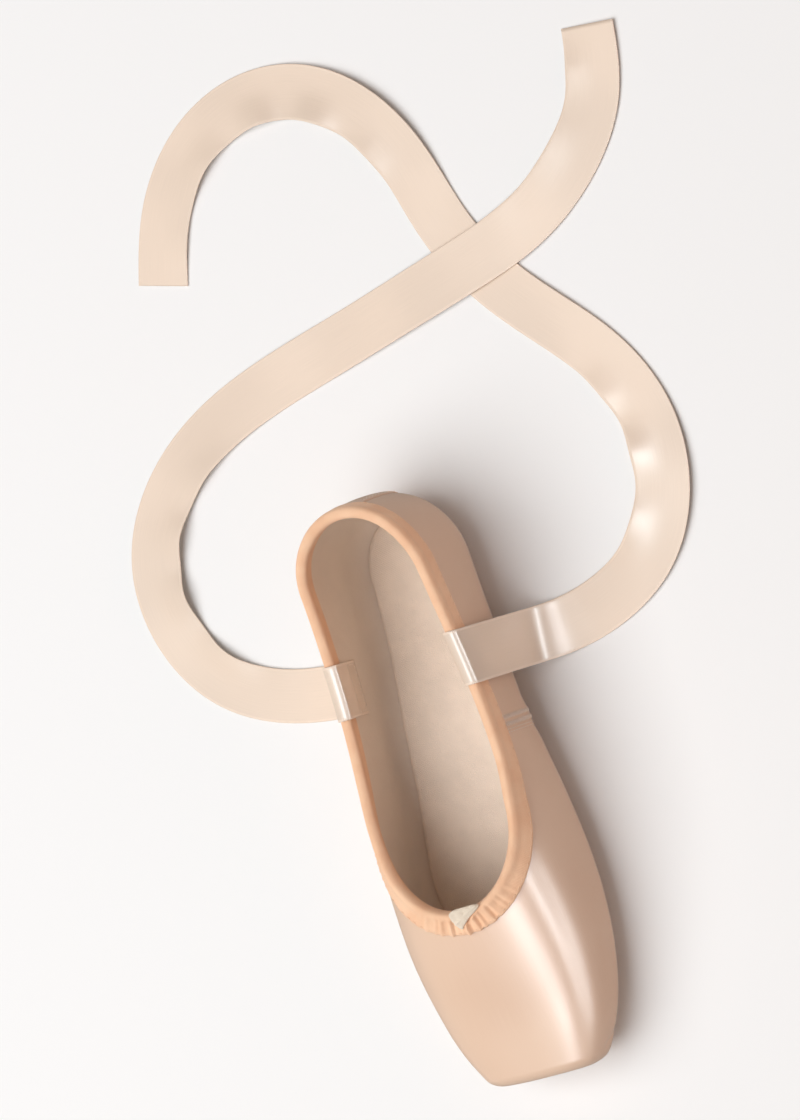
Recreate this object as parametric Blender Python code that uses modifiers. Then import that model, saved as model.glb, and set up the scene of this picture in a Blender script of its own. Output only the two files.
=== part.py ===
"""A pointe shoe that stands empty and unbent on its sole, with its two ribbons laid loose behind the heel.

The toe points along +X and the shoe is mirror-symmetric about the plane Y = 0, because it is made on a straight
last and serves either foot. The origin lies on the floor, under the middle of the shoe.

Every piece is worked out from one shape, the last. A place on the last has a station and a reach. From the heel
centre forward, the station is the distance from the heel's back, and the reach is measured out to the side. Behind
the heel centre the stations fan round it, and the reach is measured out from that centre. Each station has a section
made of two quarter superellipses, one above and one below the widest line. All lengths are in millimetres until a
mesh is made.
"""

import math

import bmesh
import bpy
import numpy as np

MM = 0.001

# Driving dimensions
LENGTH = 236.0
VAMP_LENGTH = 71.0
HEEL_CENTRE = 32.0
THROAT_DEPTH = 36.0
THROAT_HALF_WIDTH = 30.0
PLATFORM_ROUNDING = 4.0
BOX_WALL = 3.0
QUARTER_WALL = 1.5
SOLE_THICKNESS = 3.0
SOLE_BEVEL = 0.8
SOLE_HEEL_END = 14.0
SOLE_TIP = 207.0
SOLE_WIDEST = 157.0
MARGIN_UNDER_SOLE = 4.5
HEEL_FLAT_END = 52.0
FOREFOOT_FLAT_START = 130.0
FOREFOOT_FLAT_END = 188.0
ARCH_LIFT = 2.6
TOE_SPRING = 2.6
SOLE_FOLLOWS_AFTER = 0.3
INSOLE_THICKNESS = 2.4
INSOLE_FROM_WALL = 9.0
INSOLE_GAP = 0.45
INSOLE_NOSE_START = 150.0
INSOLE_TIP = 212.0
BOARD_GAP = 0.9
TAPE_THICKNESS = 0.9
BINDING_OUTSIDE = 7.8
BINDING_INSIDE = 6.0
BINDING_CREST = 0.1
STRIP_HALF_WIDTH = 6.8
STRIP_THICKNESS = 0.8
RIBBON_WIDTH = 22.0
RIBBON_LENGTH = 500.0
RIBBON_THICKNESS = 0.6
RIBBON_STATION = 70.0
RIBBON_CORNER = 0.9
TAB_THICKNESS = 1.2
GAP = 0.3
BINDING_GAP = 0.45
BINDING_INNER_GAP = 0.7

THROAT = LENGTH - VAMP_LENGTH
THROAT_BACK = THROAT - THROAT_DEPTH
MIDDLE = LENGTH / 2

# The last: one row for each station
LAST_COLUMNS = ("station", "half_width", "widest_height", "crown_height", "crown_power", "base_power")
LAST = (
    (0.0, 28.5, 25.0, 102.0, 2.00, 3.0),
    (32.0, 28.5, 24.0, 101.0, 2.00, 3.4),
    (60.0, 29.8, 22.0, 97.0, 2.00, 3.6),
    (90.0, 32.2, 20.2, 86.0, 2.02, 3.8),
    (115.0, 35.4, 18.8, 72.5, 2.06, 3.9),
    (140.0, 39.1, 17.8, 61.0, 2.14, 4.0),
    (166.0, 41.0, 17.0, 53.2, 2.24, 4.0),
    (185.0, 40.2, 16.4, 47.8, 2.32, 3.8),
    (205.0, 36.9, 16.4, 41.4, 2.44, 3.5),
    (221.0, 31.8, 17.2, 36.2, 2.60, 3.2),
    (236.0, 23.7, 18.6, 31.4, 2.80, 3.0),
)

# Height of the topline behind the throat
TOPLINE_COLUMNS = ("station", "height")
TOPLINE = (
    (0.0, 58.5),
    (14.0, 57.4),
    (32.0, 53.8),
    (60.0, 48.4),
    (90.0, 45.0),
    (110.0, 45.2),
    (129.0, 47.2),
    (148.0, 50.4),
)

# Outline of the sole between its heel and its widest place
SOLE_COLUMNS = ("station", "half_width")
SOLE = (
    (32.0, 17.6),
    (52.0, 17.2),
    (72.0, 15.7),
    (92.0, 15.0),
    (112.0, 17.2),
    (130.0, 21.2),
    (144.0, 24.4),
    (157.0, 25.5),
)

# Points across a ribbon, from its middle line
RIBBON_ACROSS = (-RIBBON_WIDTH / 2, 0.0, RIBBON_WIDTH / 2)

# Depths below the topline of the ribbon's sewn end, inside the quarter
SEWN_DEPTHS = (22.0, 17.0, 12.5)

# The ribbon's fall outside the quarter: out from the binding, and its height from the topline
FALL_COLUMNS = ("out", "height")
FALL = (
    (0.2, -0.5),
    (2.2, -7.8),
    (4.0, -20.0),
    (7.5, -32.0),
)

# Route of each ribbon, from the foot of its fall beside the shoe to its cut end: its middle line, on the floor
ROUTE_COLUMNS = ("x", "y", "height")
LEFT_ROUTE = (
    (-48.0, 43.0, 6.0),
    (-48.3, 50.0, 2.0),
    (-49.5, 59.0, 0.7),
    (-54.0, 75.0, 0.6),
    (-66.0, 95.0, 1.4),
    (-88.0, 109.0, 2.6),
    (-116.0, 111.0, 1.6),
    (-143.0, 100.0, 0.7),
    (-166.0, 81.0, 0.6),
    (-190.0, 62.0, 0.6),
    (-216.0, 50.0, 0.6),
    (-243.0, 42.0, 1.4),
    (-266.0, 28.0, 2.4),
    (-281.0, 5.0, 1.2),
    (-283.0, -22.0, 0.6),
    (-272.0, -47.0, 0.6),
    (-251.0, -65.0, 0.6),
    (-225.0, -75.0, 0.6),
)
RIGHT_ROUTE = (
    (-48.0, -43.0, 6.0),
    (-48.3, -50.0, 2.0),
    (-49.2, -59.0, 0.7),
    (-53.0, -76.0, 0.6),
    (-66.0, -99.0, 0.8),
    (-90.0, -113.0, 1.8),
    (-119.0, -113.0, 3.0),
    (-145.0, -98.0, 1.4),
    (-163.0, -72.0, 0.7),
    (-173.0, -42.0, 0.6),
    (-180.0, -10.0, 0.7),
    (-187.0, 23.0, 1.4),
    (-194.0, 55.0, 2.3),
    (-203.0, 85.0, 1.4),
    (-219.0, 110.0, 0.7),
    (-241.0, 127.0, 0.6),
    (-268.0, 133.0, 0.6),
)

# The folded end of the drawstring: a wedge with its point ahead, given ahead of the upper's edge and across it
TAB_COLUMNS = ("ahead", "across")
TAB_OUTLINE = (
    (4.8, -1.2),
    (3.4, -3.0),
    (0.4, -4.4),
    (-2.2, -4.4),
    (-3.4, -2.0),
    (-3.6, 4.0),
    (-3.2, 8.4),
    (-1.8, 8.0),
    (1.0, 3.2),
    (3.6, 0.0),
)

# Steps of the meshes
FAN_STEPS = 9
QUARTER_STEPS = 9
THROAT_STEPS = 8
OPENING_TIP_STEPS = 6
TOE_STEPS = 4
ROUNDING_STEPS = 3
ROWS = (4, 7, 7)
PLATE_BODY_STEPS = 14
PLATE_NOSE_STEPS = 8
PLATE_ROWS = 4
STRIP_STEPS = 3
STRIP_ROWS = 11
RIBBON_STEP = 9.0

# Directions, in degrees, at which a section is worked out, and those that its rows keep to at every station
SECTION_TURNS = np.linspace(-90, 90, 361)
TUCK_TURN = -50.0
SHOULDER_TURN = 8.0


class Curve:
    """A natural cubic spline through the rows of a table, for one of its columns."""

    def __init__(self, table, names, column, along="station"):
        rows = np.array(table, float)
        self.knots = rows[:, names.index(along)]
        self.values = rows[:, names.index(column)]
        count = len(self.knots)
        steps = np.diff(self.knots)
        slopes = np.diff(self.values) / steps
        system = np.eye(count)
        right = np.zeros(count)
        for row in range(1, count - 1):
            system[row, row - 1] = steps[row - 1]
            system[row, row] = 2 * (steps[row - 1] + steps[row])
            system[row, row + 1] = steps[row]
            right[row] = 6 * (slopes[row] - slopes[row - 1])
        self.bends = np.linalg.solve(system, right)

    def __call__(self, at):
        at = np.clip(np.asarray(at, float), self.knots[0], self.knots[-1])
        low = np.clip(np.searchsorted(self.knots, at) - 1, 0, len(self.knots) - 2)
        step = self.knots[low + 1] - self.knots[low]
        after = (at - self.knots[low]) / step
        before = 1 - after
        bend = (before**3 - before) * self.bends[low] + (after**3 - after) * self.bends[low + 1]
        return before * self.values[low] + after * self.values[low + 1] + bend * step**2 / 6


last = {name: Curve(LAST, LAST_COLUMNS, name) for name in LAST_COLUMNS[1:]}
topline_height = Curve(TOPLINE, TOPLINE_COLUMNS, "height")
sole_half_width = Curve(SOLE, SOLE_COLUMNS, "half_width")


def smooth_step(value, start, end):
    t = np.clip((np.asarray(value, float) - start) / (end - start), 0, 1)
    return t * t * (3 - 2 * t)


def sole_lift(station):
    """Height of the sole's underside: flat at heel and forefoot, lifted at the waist and a little at the toe."""
    toe = np.clip((np.asarray(station, float) - FOREFOOT_FLAT_END) / (LENGTH - FOREFOOT_FLAT_END), 0, 1)
    waist = np.clip((np.asarray(station, float) - HEEL_FLAT_END) / (FOREFOOT_FLAT_START - HEEL_FLAT_END), 0, 1)
    return TOE_SPRING * toe**2 + ARCH_LIFT * np.sin(math.pi * waist) ** 2


def rounding(station):
    """How far the sections draw in near the platform, along a quarter circle."""
    into = np.clip(np.asarray(station, float) - (LENGTH - PLATFORM_ROUNDING), 0, PLATFORM_ROUNDING)
    return PLATFORM_ROUNDING - np.sqrt(PLATFORM_ROUNDING**2 - into**2)


def base_height(station):
    return SOLE_THICKNESS + GAP + sole_lift(station) + rounding(station)


def crown_height(station):
    return last["crown_height"](station) - rounding(station)


def fan_angle(station):
    """Angle of a station behind the heel centre, from straight back to straight out."""
    return np.arccos(np.clip(1 - np.asarray(station, float) / HEEL_CENTRE, 0, 1))


def fan_reach(angle, back, side):
    """Reach of an ellipse round the heel centre, in the direction of the angle."""
    return 1 / np.hypot(np.cos(angle) / back, np.sin(angle) / side)


def widest_reach(station):
    side = last["half_width"](station) - rounding(station)
    around = fan_reach(fan_angle(station), HEEL_CENTRE, last["half_width"](HEEL_CENTRE))
    return np.where(np.asarray(station) < HEEL_CENTRE, around, side)


def sole_reach(station, inset=0.0):
    """Reach of the sole's edge, or of an outline that lies an inset inside it."""
    station = np.asarray(station, float)
    side = sole_half_width(HEEL_CENTRE) - inset
    around = fan_reach(fan_angle(station), HEEL_CENTRE - SOLE_HEEL_END - inset, side)
    along = (station - SOLE_WIDEST) / (SOLE_TIP - inset - SOLE_WIDEST)
    nose = (sole_half_width(SOLE_WIDEST) - inset) * np.sqrt(np.clip(1 - along**2, 0, 1))
    ahead = np.where(station > SOLE_WIDEST, nose, sole_half_width(station) - inset)
    return np.where(station < HEEL_CENTRE, around, ahead)


def place(station, reach, height):
    """The point, in the last's own axes, at a reach from the spine of the shoe."""
    station, reach, height = np.broadcast_arrays(*(np.asarray(v, float) for v in (station, reach, height)))
    angle = fan_angle(station)
    fan = station < HEEL_CENTRE
    x = np.where(fan, HEEL_CENTRE - reach * np.cos(angle), station)
    y = np.where(fan, reach * np.sin(angle), reach)
    return np.stack([x, y, height], axis=-1)


def full_section(station):
    """Reach and height round the whole section, from under the sole to the crown, with its length so far."""
    turn = np.radians(SECTION_TURNS)
    power = np.where(turn < 0, last["base_power"](station), last["crown_power"](station))
    across = np.abs(np.cos(turn))
    up = np.abs(np.sin(turn))
    size = (across**power + up**power) ** (-1 / power)
    widest = last["widest_height"](station)
    span = np.where(turn < 0, base_height(station) - widest, crown_height(station) - widest)
    reach = size * across * widest_reach(station)
    reach[[0, -1]] = 0
    height = widest + size * up * span
    length = np.concatenate([[0], np.cumsum(np.hypot(np.diff(reach), np.diff(height)))])
    return reach, height, length


def opening_reach(station):
    """Half width of the hole under the upper, which the sole closes."""
    return sole_reach(station, MARGIN_UNDER_SOLE)


def top_length(station, reach, height, length):
    """Length along a section at which the topline cuts it."""
    if station >= THROAT:
        return length[-1]
    half = len(reach) // 2
    by_height = np.interp(topline_height(station), height[half:], length[half:])
    if station < HEEL_CENTRE:
        return by_height
    ahead = max(station - THROAT_BACK, 0) / THROAT_DEPTH
    plan = THROAT_HALF_WIDTH * math.sqrt(1 - ahead**2)
    by_plan = np.interp(plan, reach[half:][::-1], length[half:][::-1])
    share = float(smooth_step(station, THROAT_BACK - 19, THROAT_BACK + 16))
    return by_plan * share + by_height * (1 - share)


def upper_section(station):
    """Points of the upper's outside at one station, from the hole underneath to the topline or the crown."""
    reach, height, length = full_section(station)
    half = len(reach) // 2
    start = np.interp(opening_reach(station), reach[: half + 1], length[: half + 1])
    tuck, shoulder = np.interp((TUCK_TURN, SHOULDER_TURN), SECTION_TURNS, length)
    knots = (start, tuck, shoulder, top_length(station, reach, height, length))
    parts = [np.linspace(low, high, rows + 1)[1:] for low, high, rows in zip(knots, knots[1:], ROWS)]
    at = np.concatenate([[start], *parts])
    return place(station, np.interp(at, length, reach), np.interp(at, length, height))


def upper_stations():
    """Stations from heel to platform, closer together where an edge turns across the shoe."""
    fan = HEEL_CENTRE * (1 - np.cos(np.linspace(0, math.pi / 2, FAN_STEPS + 1)))
    quarter = np.linspace(HEEL_CENTRE, THROAT_BACK, QUARTER_STEPS + 1)[1:]
    throat = THROAT_BACK + THROAT_DEPTH * np.sin(np.linspace(0, math.pi / 2, THROAT_STEPS + 1))[1:]
    opening_tip = SOLE_TIP - MARGIN_UNDER_SOLE - SOLE_WIDEST
    first = math.asin((THROAT - SOLE_WIDEST) / opening_tip)
    box = SOLE_WIDEST + opening_tip * np.sin(np.linspace(first, math.pi / 2, OPENING_TIP_STEPS + 1))[1:]
    toe = np.linspace(box[-1], LENGTH - PLATFORM_ROUNDING, TOE_STEPS + 1)[1:]
    edge = np.sin(np.linspace(0, math.pi / 2, ROUNDING_STEPS + 1))[1:]
    return np.concatenate([fan, quarter, throat, box, toe, LENGTH - PLATFORM_ROUNDING * (1 - edge)])


def wall_thickness(station):
    return QUARTER_WALL + (BOX_WALL - QUARTER_WALL) * smooth_step(station, 120, 200)


def misfit(points):
    """Zero on the last's surface, negative inside it and positive outside."""
    x, y, z = points[..., 0], np.abs(points[..., 1]), points[..., 2]
    behind = HEEL_CENTRE - x
    angle = np.arctan2(y, np.maximum(behind, 1e-9))
    fan = behind > 0
    station = np.where(fan, HEEL_CENTRE * (1 - np.cos(angle)), x)
    reach = np.where(fan, np.hypot(behind, y), y)
    widest = last["widest_height"](station)
    above = z > widest
    power = np.where(above, last["crown_power"](station), last["base_power"](station))
    span = np.where(above, crown_height(station), base_height(station)) - widest
    return (reach / widest_reach(station)) ** power + np.abs((z - widest) / span) ** power - 1


def slope(points):
    """Gradient of the misfit, by central differences."""
    nudge = 0.02
    parts = []
    for axis in range(3):
        step = np.zeros(3)
        step[axis] = nudge
        parts.append((misfit(points + step) - misfit(points - step)) / (2 * nudge))
    return np.stack(parts, axis=-1)


def settle(points, distance=0.0):
    """The points moved onto the last, then out along its normal by a distance."""
    points = np.array(points, float)
    for _ in range(6):
        gradient = slope(points)
        points -= gradient * (misfit(points) / (gradient**2).sum(-1))[..., None]
    gradient = slope(points)
    normal = gradient / np.linalg.norm(gradient, axis=-1, keepdims=True)
    return points + normal * np.asarray(distance)[..., None]


def new_material(name, colour, roughness):
    material = bpy.data.materials.new(name)
    material.use_nodes = True
    shader = material.node_tree.nodes["Principled BSDF"]
    shader.inputs["Base Color"].default_value = (*colour, 1)
    shader.inputs["Roughness"].default_value = roughness
    shader.inputs["Metallic"].default_value = 0
    return material


def grid_object(name, grid, material, collection, closed_loops=False, end_faces=()):
    """A half mesh over a grid of points, one row for each station, open at the plane Y = 0."""
    stations, rows = grid.shape[:2]
    points = np.array(grid, float).reshape(-1, 3)
    points[:, 0] -= MIDDLE
    mesh = bpy.data.meshes.new(name)
    shape = bmesh.new()
    corners = [shape.verts.new(point) for point in points * MM]
    for station in range(stations - 1):
        for row in range(rows if closed_loops else rows - 1):
            beside = (row + 1) % rows
            low, high = station * rows, (station + 1) * rows
            ring = [corners[low + row], corners[high + row], corners[high + beside], corners[low + beside]]
            shape.faces.new(ring)
    for station in end_faces:
        ring = corners[station * rows : (station + 1) * rows]
        shape.faces.new(ring[::-1] if station else ring)
    bmesh.ops.remove_doubles(shape, verts=shape.verts, dist=1e-6)
    if shape.calc_volume(signed=True) < 0:
        bmesh.ops.reverse_faces(shape, faces=shape.faces)
    shape.to_mesh(mesh)
    shape.free()
    mesh.materials.append(material)
    mesh.shade_smooth()
    mesh.set_sharp_from_angle(angle=math.radians(40))
    piece = bpy.data.objects.new(name, mesh)
    collection.objects.link(piece)
    return piece


def add_mirror(piece):
    mirror = piece.modifiers.new("Mirror", "MIRROR")
    mirror.use_axis = (False, True, False)
    mirror.use_clip = True
    mirror.merge_threshold = 0.00005


def make_upper(collection):
    """The upper: a wall round the last, thick at the box and thin at the quarters, with a flat platform."""
    stations = upper_stations()
    grid = np.stack([upper_section(station) for station in stations])
    satin = new_material("satin", (0.80, 0.61, 0.47), 0.35)
    upper = grid_object("upper", grid, satin, collection, end_faces=(len(stations) - 1,))
    add_mirror(upper)
    group = upper.vertex_groups.new(name="wall")
    for vertex in upper.data.vertices:
        share = wall_thickness(vertex.co.x / MM + MIDDLE) / BOX_WALL
        group.add([vertex.index], float(share), "REPLACE")
    wall = upper.modifiers.new("Wall", "SOLIDIFY")
    wall.thickness = BOX_WALL * MM
    wall.offset = -1
    wall.vertex_group = group.name
    return upper


def under_height(station, reach):
    """Height of the upper's outside under the shoe, at a reach from the spine."""
    ratio = np.clip(reach / widest_reach(station), 0, 1)
    power = last["base_power"](station)
    widest = last["widest_height"](station)
    return widest - (widest - base_height(station)) * (1 - ratio**power) ** (1 / power)


def plate_stations(nose_start, tip):
    """Stations of a flat piece under or in the shoe, from its rounded heel to its rounded tip."""
    fan = HEEL_CENTRE * (1 - np.cos(np.linspace(0, math.pi / 2, FAN_STEPS + 1)))
    body = np.linspace(HEEL_CENTRE, nose_start, PLATE_BODY_STEPS + 1)[1:]
    nose = nose_start + (tip - nose_start) * np.sin(np.linspace(0, math.pi / 2, PLATE_NOSE_STEPS + 1))[1:]
    return np.concatenate([fan, body, nose])


def make_outsole(collection):
    """The outsole: its top follows the upper, its underside is flat at heel and forefoot and bevelled all round."""
    stations = plate_stations(SOLE_WIDEST, SOLE_TIP)
    shares = np.linspace(0, 1, PLATE_ROWS + 1)
    columns = []
    for station in stations:
        edge = float(sole_reach(station))
        foot = max(edge - SOLE_BEVEL, 0.0)
        floor = float(sole_lift(station))
        tops = under_height(station, edge * shares) - GAP
        lows = under_height(station, foot * shares) - GAP - SOLE_THICKNESS - SOLE_FOLLOWS_AFTER
        lows = np.maximum(floor, lows)
        low = place(station, foot * shares, lows)
        side = place(station, edge, lows[-1] + SOLE_BEVEL)
        top = place(station, edge * shares[::-1], tops[::-1])
        columns.append(np.concatenate([low, side[None], top]))
    leather = new_material("sole_leather", (0.60, 0.46, 0.34), 0.6)
    outsole = grid_object("outsole", np.stack(columns), leather, collection)
    add_mirror(outsole)
    return outsole


def make_insole(collection):
    """The insole: a thin sock on the upper's turned-in edge, joined to the board that fills the hole below."""
    linen = new_material("insole_linen", (0.72, 0.62, 0.50), 0.85)
    stations = plate_stations(INSOLE_NOSE_START, INSOLE_TIP)
    shares = np.linspace(0, 1, PLATE_ROWS + 1)
    columns = []
    for station in stations:
        inside = float(widest_reach(station)) - INSOLE_FROM_WALL
        if station > INSOLE_NOSE_START:
            along = (station - INSOLE_NOSE_START) / (INSOLE_TIP - INSOLE_NOSE_START)
            widest = float(widest_reach(INSOLE_NOSE_START)) - INSOLE_FROM_WALL
            inside = widest * math.sqrt(max(1 - along**2, 0))
        lows = under_height(station, inside * shares) + wall_thickness(station) + INSOLE_GAP
        low = place(station, inside * shares, lows)
        top = place(station, inside * shares, lows + INSOLE_THICKNESS)
        columns.append(np.concatenate([low, top[::-1]]))
    insole = grid_object("insole", np.stack(columns), linen, collection)
    add_mirror(insole)
    board = make_board(linen)
    join = insole.modifiers.new("Board", "BOOLEAN")
    join.operation = "UNION"
    join.object = board
    return insole


def make_board(material):
    """The board under the insole: it fills the hole in the upper and reaches into the sock above."""
    helpers = bpy.data.collections.new("helpers")
    bpy.context.scene.collection.children.link(helpers)
    inset = MARGIN_UNDER_SOLE + BOARD_GAP
    stations = plate_stations(SOLE_WIDEST, SOLE_TIP - inset)
    shares = np.linspace(0, 1, PLATE_ROWS + 1)
    columns = []
    for station in stations:
        edge = float(sole_reach(station, inset))
        lows = under_height(station, edge * shares)
        low = place(station, edge * shares, lows)
        top = place(station, edge * shares, lows + wall_thickness(station) + GAP + INSOLE_THICKNESS / 2)
        columns.append(np.concatenate([low, top[::-1]]))
    board = grid_object("insole_board", np.stack(columns), material, helpers)
    add_mirror(board)
    board.hide_render = True
    board.display_type = "WIRE"
    return board


def topline_points():
    """The topline's points from the heel's back to the throat's front, one for each station."""
    stations = [station for station in upper_stations() if station <= THROAT + 1e-6]
    return np.array(stations), np.stack([upper_section(station)[-1] for station in stations])


def edge_frame(edge):
    """At each point of the topline: the last's normal, and the way down its surface from the edge."""
    mirror = edge * (1, -1, 1)
    padded = np.concatenate([mirror[1:2], edge, mirror[-2:-1]])
    along = padded[2:] - padded[:-2]
    along /= np.linalg.norm(along, axis=1, keepdims=True)
    gradient = slope(edge)
    normal = gradient / np.linalg.norm(gradient, axis=1, keepdims=True)
    down = np.cross(normal, along)
    down /= np.linalg.norm(down, axis=1, keepdims=True)
    return normal, down


def make_binding(collection):
    """The binding: a folded tape whose legs lie outside and inside the upper's edge."""
    stations, edge = topline_points()
    normal, down = edge_frame(edge)
    wall = wall_thickness(edge[:, 0])[:, None]
    near = BINDING_GAP
    far = BINDING_GAP + TAPE_THICKNESS
    inner_near = wall + BINDING_INNER_GAP
    inner_far = inner_near + TAPE_THICKNESS
    outer = [settle(edge + down * (BINDING_OUTSIDE * share), near) for share in (0.5, 1)]
    outer_far = [settle(edge + down * (BINDING_OUTSIDE * share), far) for share in (1, 0.5)]
    inner = [settle(edge + down * BINDING_INSIDE, -away[:, 0]) for away in (inner_far, inner_near)]
    ring = [
        edge + normal * near - down * GAP,
        outer[0],
        outer[1],
        outer_far[0],
        outer_far[1],
        edge + normal * far,
        edge + normal * (far * 0.6) - down * (far * 0.85),
        edge - normal * (wall / 2) - down * (far + BINDING_CREST),
        edge - normal * (inner_far - far * 0.4) - down * (far * 0.85),
        edge - normal * inner_far,
        inner[0],
        inner[1],
        edge - normal * inner_near - down * GAP,
    ]
    grid = np.stack(ring, axis=1)
    grid[[0, -1], :, 1] = 0
    tape = new_material("binding_cotton", (0.92, 0.56, 0.34), 0.8)
    binding = grid_object("binding", grid, tape, collection, closed_loops=True)
    add_mirror(binding)
    return binding


def make_heel_strip(collection):
    """The strip over the back seam, between the binding's foot and the sole's rear edge."""
    angles = np.linspace(0, STRIP_HALF_WIDTH / HEEL_CENTRE, STRIP_STEPS + 1)
    columns = []
    for angle in angles:
        station = HEEL_CENTRE * (1 - math.cos(angle))
        reach, height, length = full_section(station)
        half = len(reach) // 2
        start_reach = float(sole_reach(station)) + 2 * GAP
        start = np.interp(start_reach, reach[: half + 1], length[: half + 1])
        end = top_length(station, reach, height, length) - BINDING_OUTSIDE - 2 * GAP
        at = np.linspace(start, end, STRIP_ROWS + 1)
        line = place(station, np.interp(at, length, reach), np.interp(at, length, height))
        low = settle(line, GAP)
        high = settle(line, GAP + STRIP_THICKNESS)
        columns.append(np.concatenate([low, high[::-1]]))
    grid = np.stack(columns)
    grid[0, :, 1] = 0
    satin = new_material("strip_satin", (0.82, 0.63, 0.48), 0.4)
    strip = grid_object("heel_strip", grid, satin, collection, closed_loops=True, end_faces=(STRIP_STEPS,))
    add_mirror(strip)
    return strip


def wall_rungs(side):
    """The first rungs of a ribbon: up inside the quarter, over the binding and down clear of the wall."""
    rungs = []
    clear = GAP + RIBBON_THICKNESS / 2
    inside = QUARTER_WALL + BINDING_INNER_GAP + TAPE_THICKNESS + clear + GAP
    outside = BINDING_GAP + TAPE_THICKNESS + clear + GAP
    over = BINDING_GAP + TAPE_THICKNESS + BINDING_CREST + clear
    for across in RIBBON_ACROSS:
        station = RIBBON_STATION + across
        edge = upper_section(station)[-1]
        depths = np.array(SEWN_DEPTHS)[:, None]
        sewn = settle(edge - depths * (0, 0, 1), -(QUARTER_WALL + clear))
        fold = [
            (-inside, -BINDING_INSIDE - 2),
            (-inside, -RIBBON_CORNER / 2),
            (-inside + RIBBON_CORNER, over - RIBBON_CORNER / 2),
            (-QUARTER_WALL / 2, over),
            (outside - RIBBON_CORNER, over - RIBBON_CORNER / 2),
        ]
        fall = [(outside + out, height) for out, height in FALL]
        falling = edge + np.array([(0, out, height) for out, height in fold + fall])
        rungs.append(np.concatenate([sewn, falling]) * (1, side, 1))
    return np.stack(rungs, axis=1)


def run_length(rungs):
    """Length of a ribbon's middle line."""
    return np.linalg.norm(np.diff(rungs[:, 1], axis=0), axis=1).sum()


def floor_rungs(side, route, length):
    """The rungs of a ribbon along its route on the floor for a length, each square to the way it runs."""
    rows = np.array(route, float)
    gone = np.concatenate([[0], np.cumsum(np.linalg.norm(np.diff(rows, axis=0), axis=1))])
    table = np.column_stack([gone, rows])
    at = np.linspace(0, length, round(length / RIBBON_STEP) + 1)
    names = ("gone", *ROUTE_COLUMNS)
    line = np.stack([Curve(table, names, name, "gone")(at) for name in ROUTE_COLUMNS], axis=-1)
    line[:, 0] += MIDDLE
    heading = np.gradient(line[:, :2], axis=0)
    heading[0] = (0, side)
    heading /= np.linalg.norm(heading, axis=1, keepdims=True)
    square = np.stack([side * heading[:, 1], -side * heading[:, 0], np.zeros(len(at))], axis=-1)
    return line[:, None] + np.array(RIBBON_ACROSS)[None, :, None] * square[:, None]


def make_ribbon(collection, name, side, route, material):
    """A ribbon: a thin strip from inside the quarter over the topline and along its route on the floor."""
    fall = wall_rungs(side)
    landing = np.linalg.norm(fall[-1, 1] - (MIDDLE, 0, 0) - route[0])
    left = RIBBON_LENGTH - run_length(fall) - landing
    rungs = np.concatenate([fall, floor_rungs(side, route, left)])
    along = np.gradient(rungs, axis=0)
    square = rungs[:, -1:] - rungs[:, :1]
    normal = np.cross(square, along)
    normal /= np.linalg.norm(normal, axis=-1, keepdims=True)
    half = normal * (RIBBON_THICKNESS / 2)
    grid = np.concatenate([rungs + half, (rungs - half)[:, ::-1]], axis=1)
    return grid_object(name, grid, material, collection, closed_loops=True, end_faces=(0, len(grid) - 1))


def make_drawstring_tab(collection):
    """The folded end of the drawstring, over the binding's inner edge at the centre of the throat."""
    stations, edge = topline_points()
    normal, down = edge_frame(edge)
    outline = bpy.data.curves.new("drawstring_tab", "CURVE")
    outline.dimensions = "2D"
    outline.fill_mode = "BOTH"
    outline.extrude = TAB_THICKNESS / 2 * MM
    points = np.array(TAB_OUTLINE) * MM
    spline = outline.splines.new("POLY")
    spline.points.add(len(points) - 1)
    spline.use_cyclic_u = True
    for point, (ahead, across) in zip(spline.points, points):
        point.co = (ahead, across, 0, 1)
    cream = new_material("drawstring_cotton", (0.90, 0.80, 0.70), 0.85)
    outline.materials.append(cream)
    tab = bpy.data.objects.new("drawstring_tab", outline)
    lift = BINDING_GAP + TAPE_THICKNESS + 2 * GAP + TAB_THICKNESS / 2
    seat = edge[-1] + normal[-1] * lift
    tab.location = (seat - (MIDDLE, 0, 0)) * MM
    tab.rotation_euler = (0, math.atan2(-down[-1, 2], down[-1, 0]), 0)
    collection.objects.link(tab)
    return tab


def main():
    for item in list(bpy.data.objects):
        bpy.data.objects.remove(item, do_unlink=True)
    collection = bpy.data.collections.new("pointe_shoe")
    bpy.context.scene.collection.children.link(collection)
    make_upper(collection)
    make_outsole(collection)
    make_insole(collection)
    make_binding(collection)
    make_heel_strip(collection)
    make_drawstring_tab(collection)
    satin = new_material("ribbon_satin", (0.88, 0.72, 0.60), 0.4)
    make_ribbon(collection, "ribbon_left", 1, LEFT_ROUTE, satin)
    make_ribbon(collection, "ribbon_right", -1, RIGHT_ROUTE, satin)


main()
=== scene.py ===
"""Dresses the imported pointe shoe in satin, leather, cotton tape, thread and ribbon, and sets up its studio.

Shapes are worked out in millimetres, in the last's own axes. The station is the distance from the heel's
back, and the reach is measured out from the spine of the shoe. Behind the heel centre the stations fan round
it. The run is the station counted along the surface, and the girth is the length round a section, up from its
widest line. A mesh is moved to the frame's axes, in metres, when it is made.
"""

import math

import bmesh
import bpy
import numpy as np
from bpy.props import FloatProperty, FloatVectorProperty, PointerProperty
from mathutils import Matrix


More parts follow.
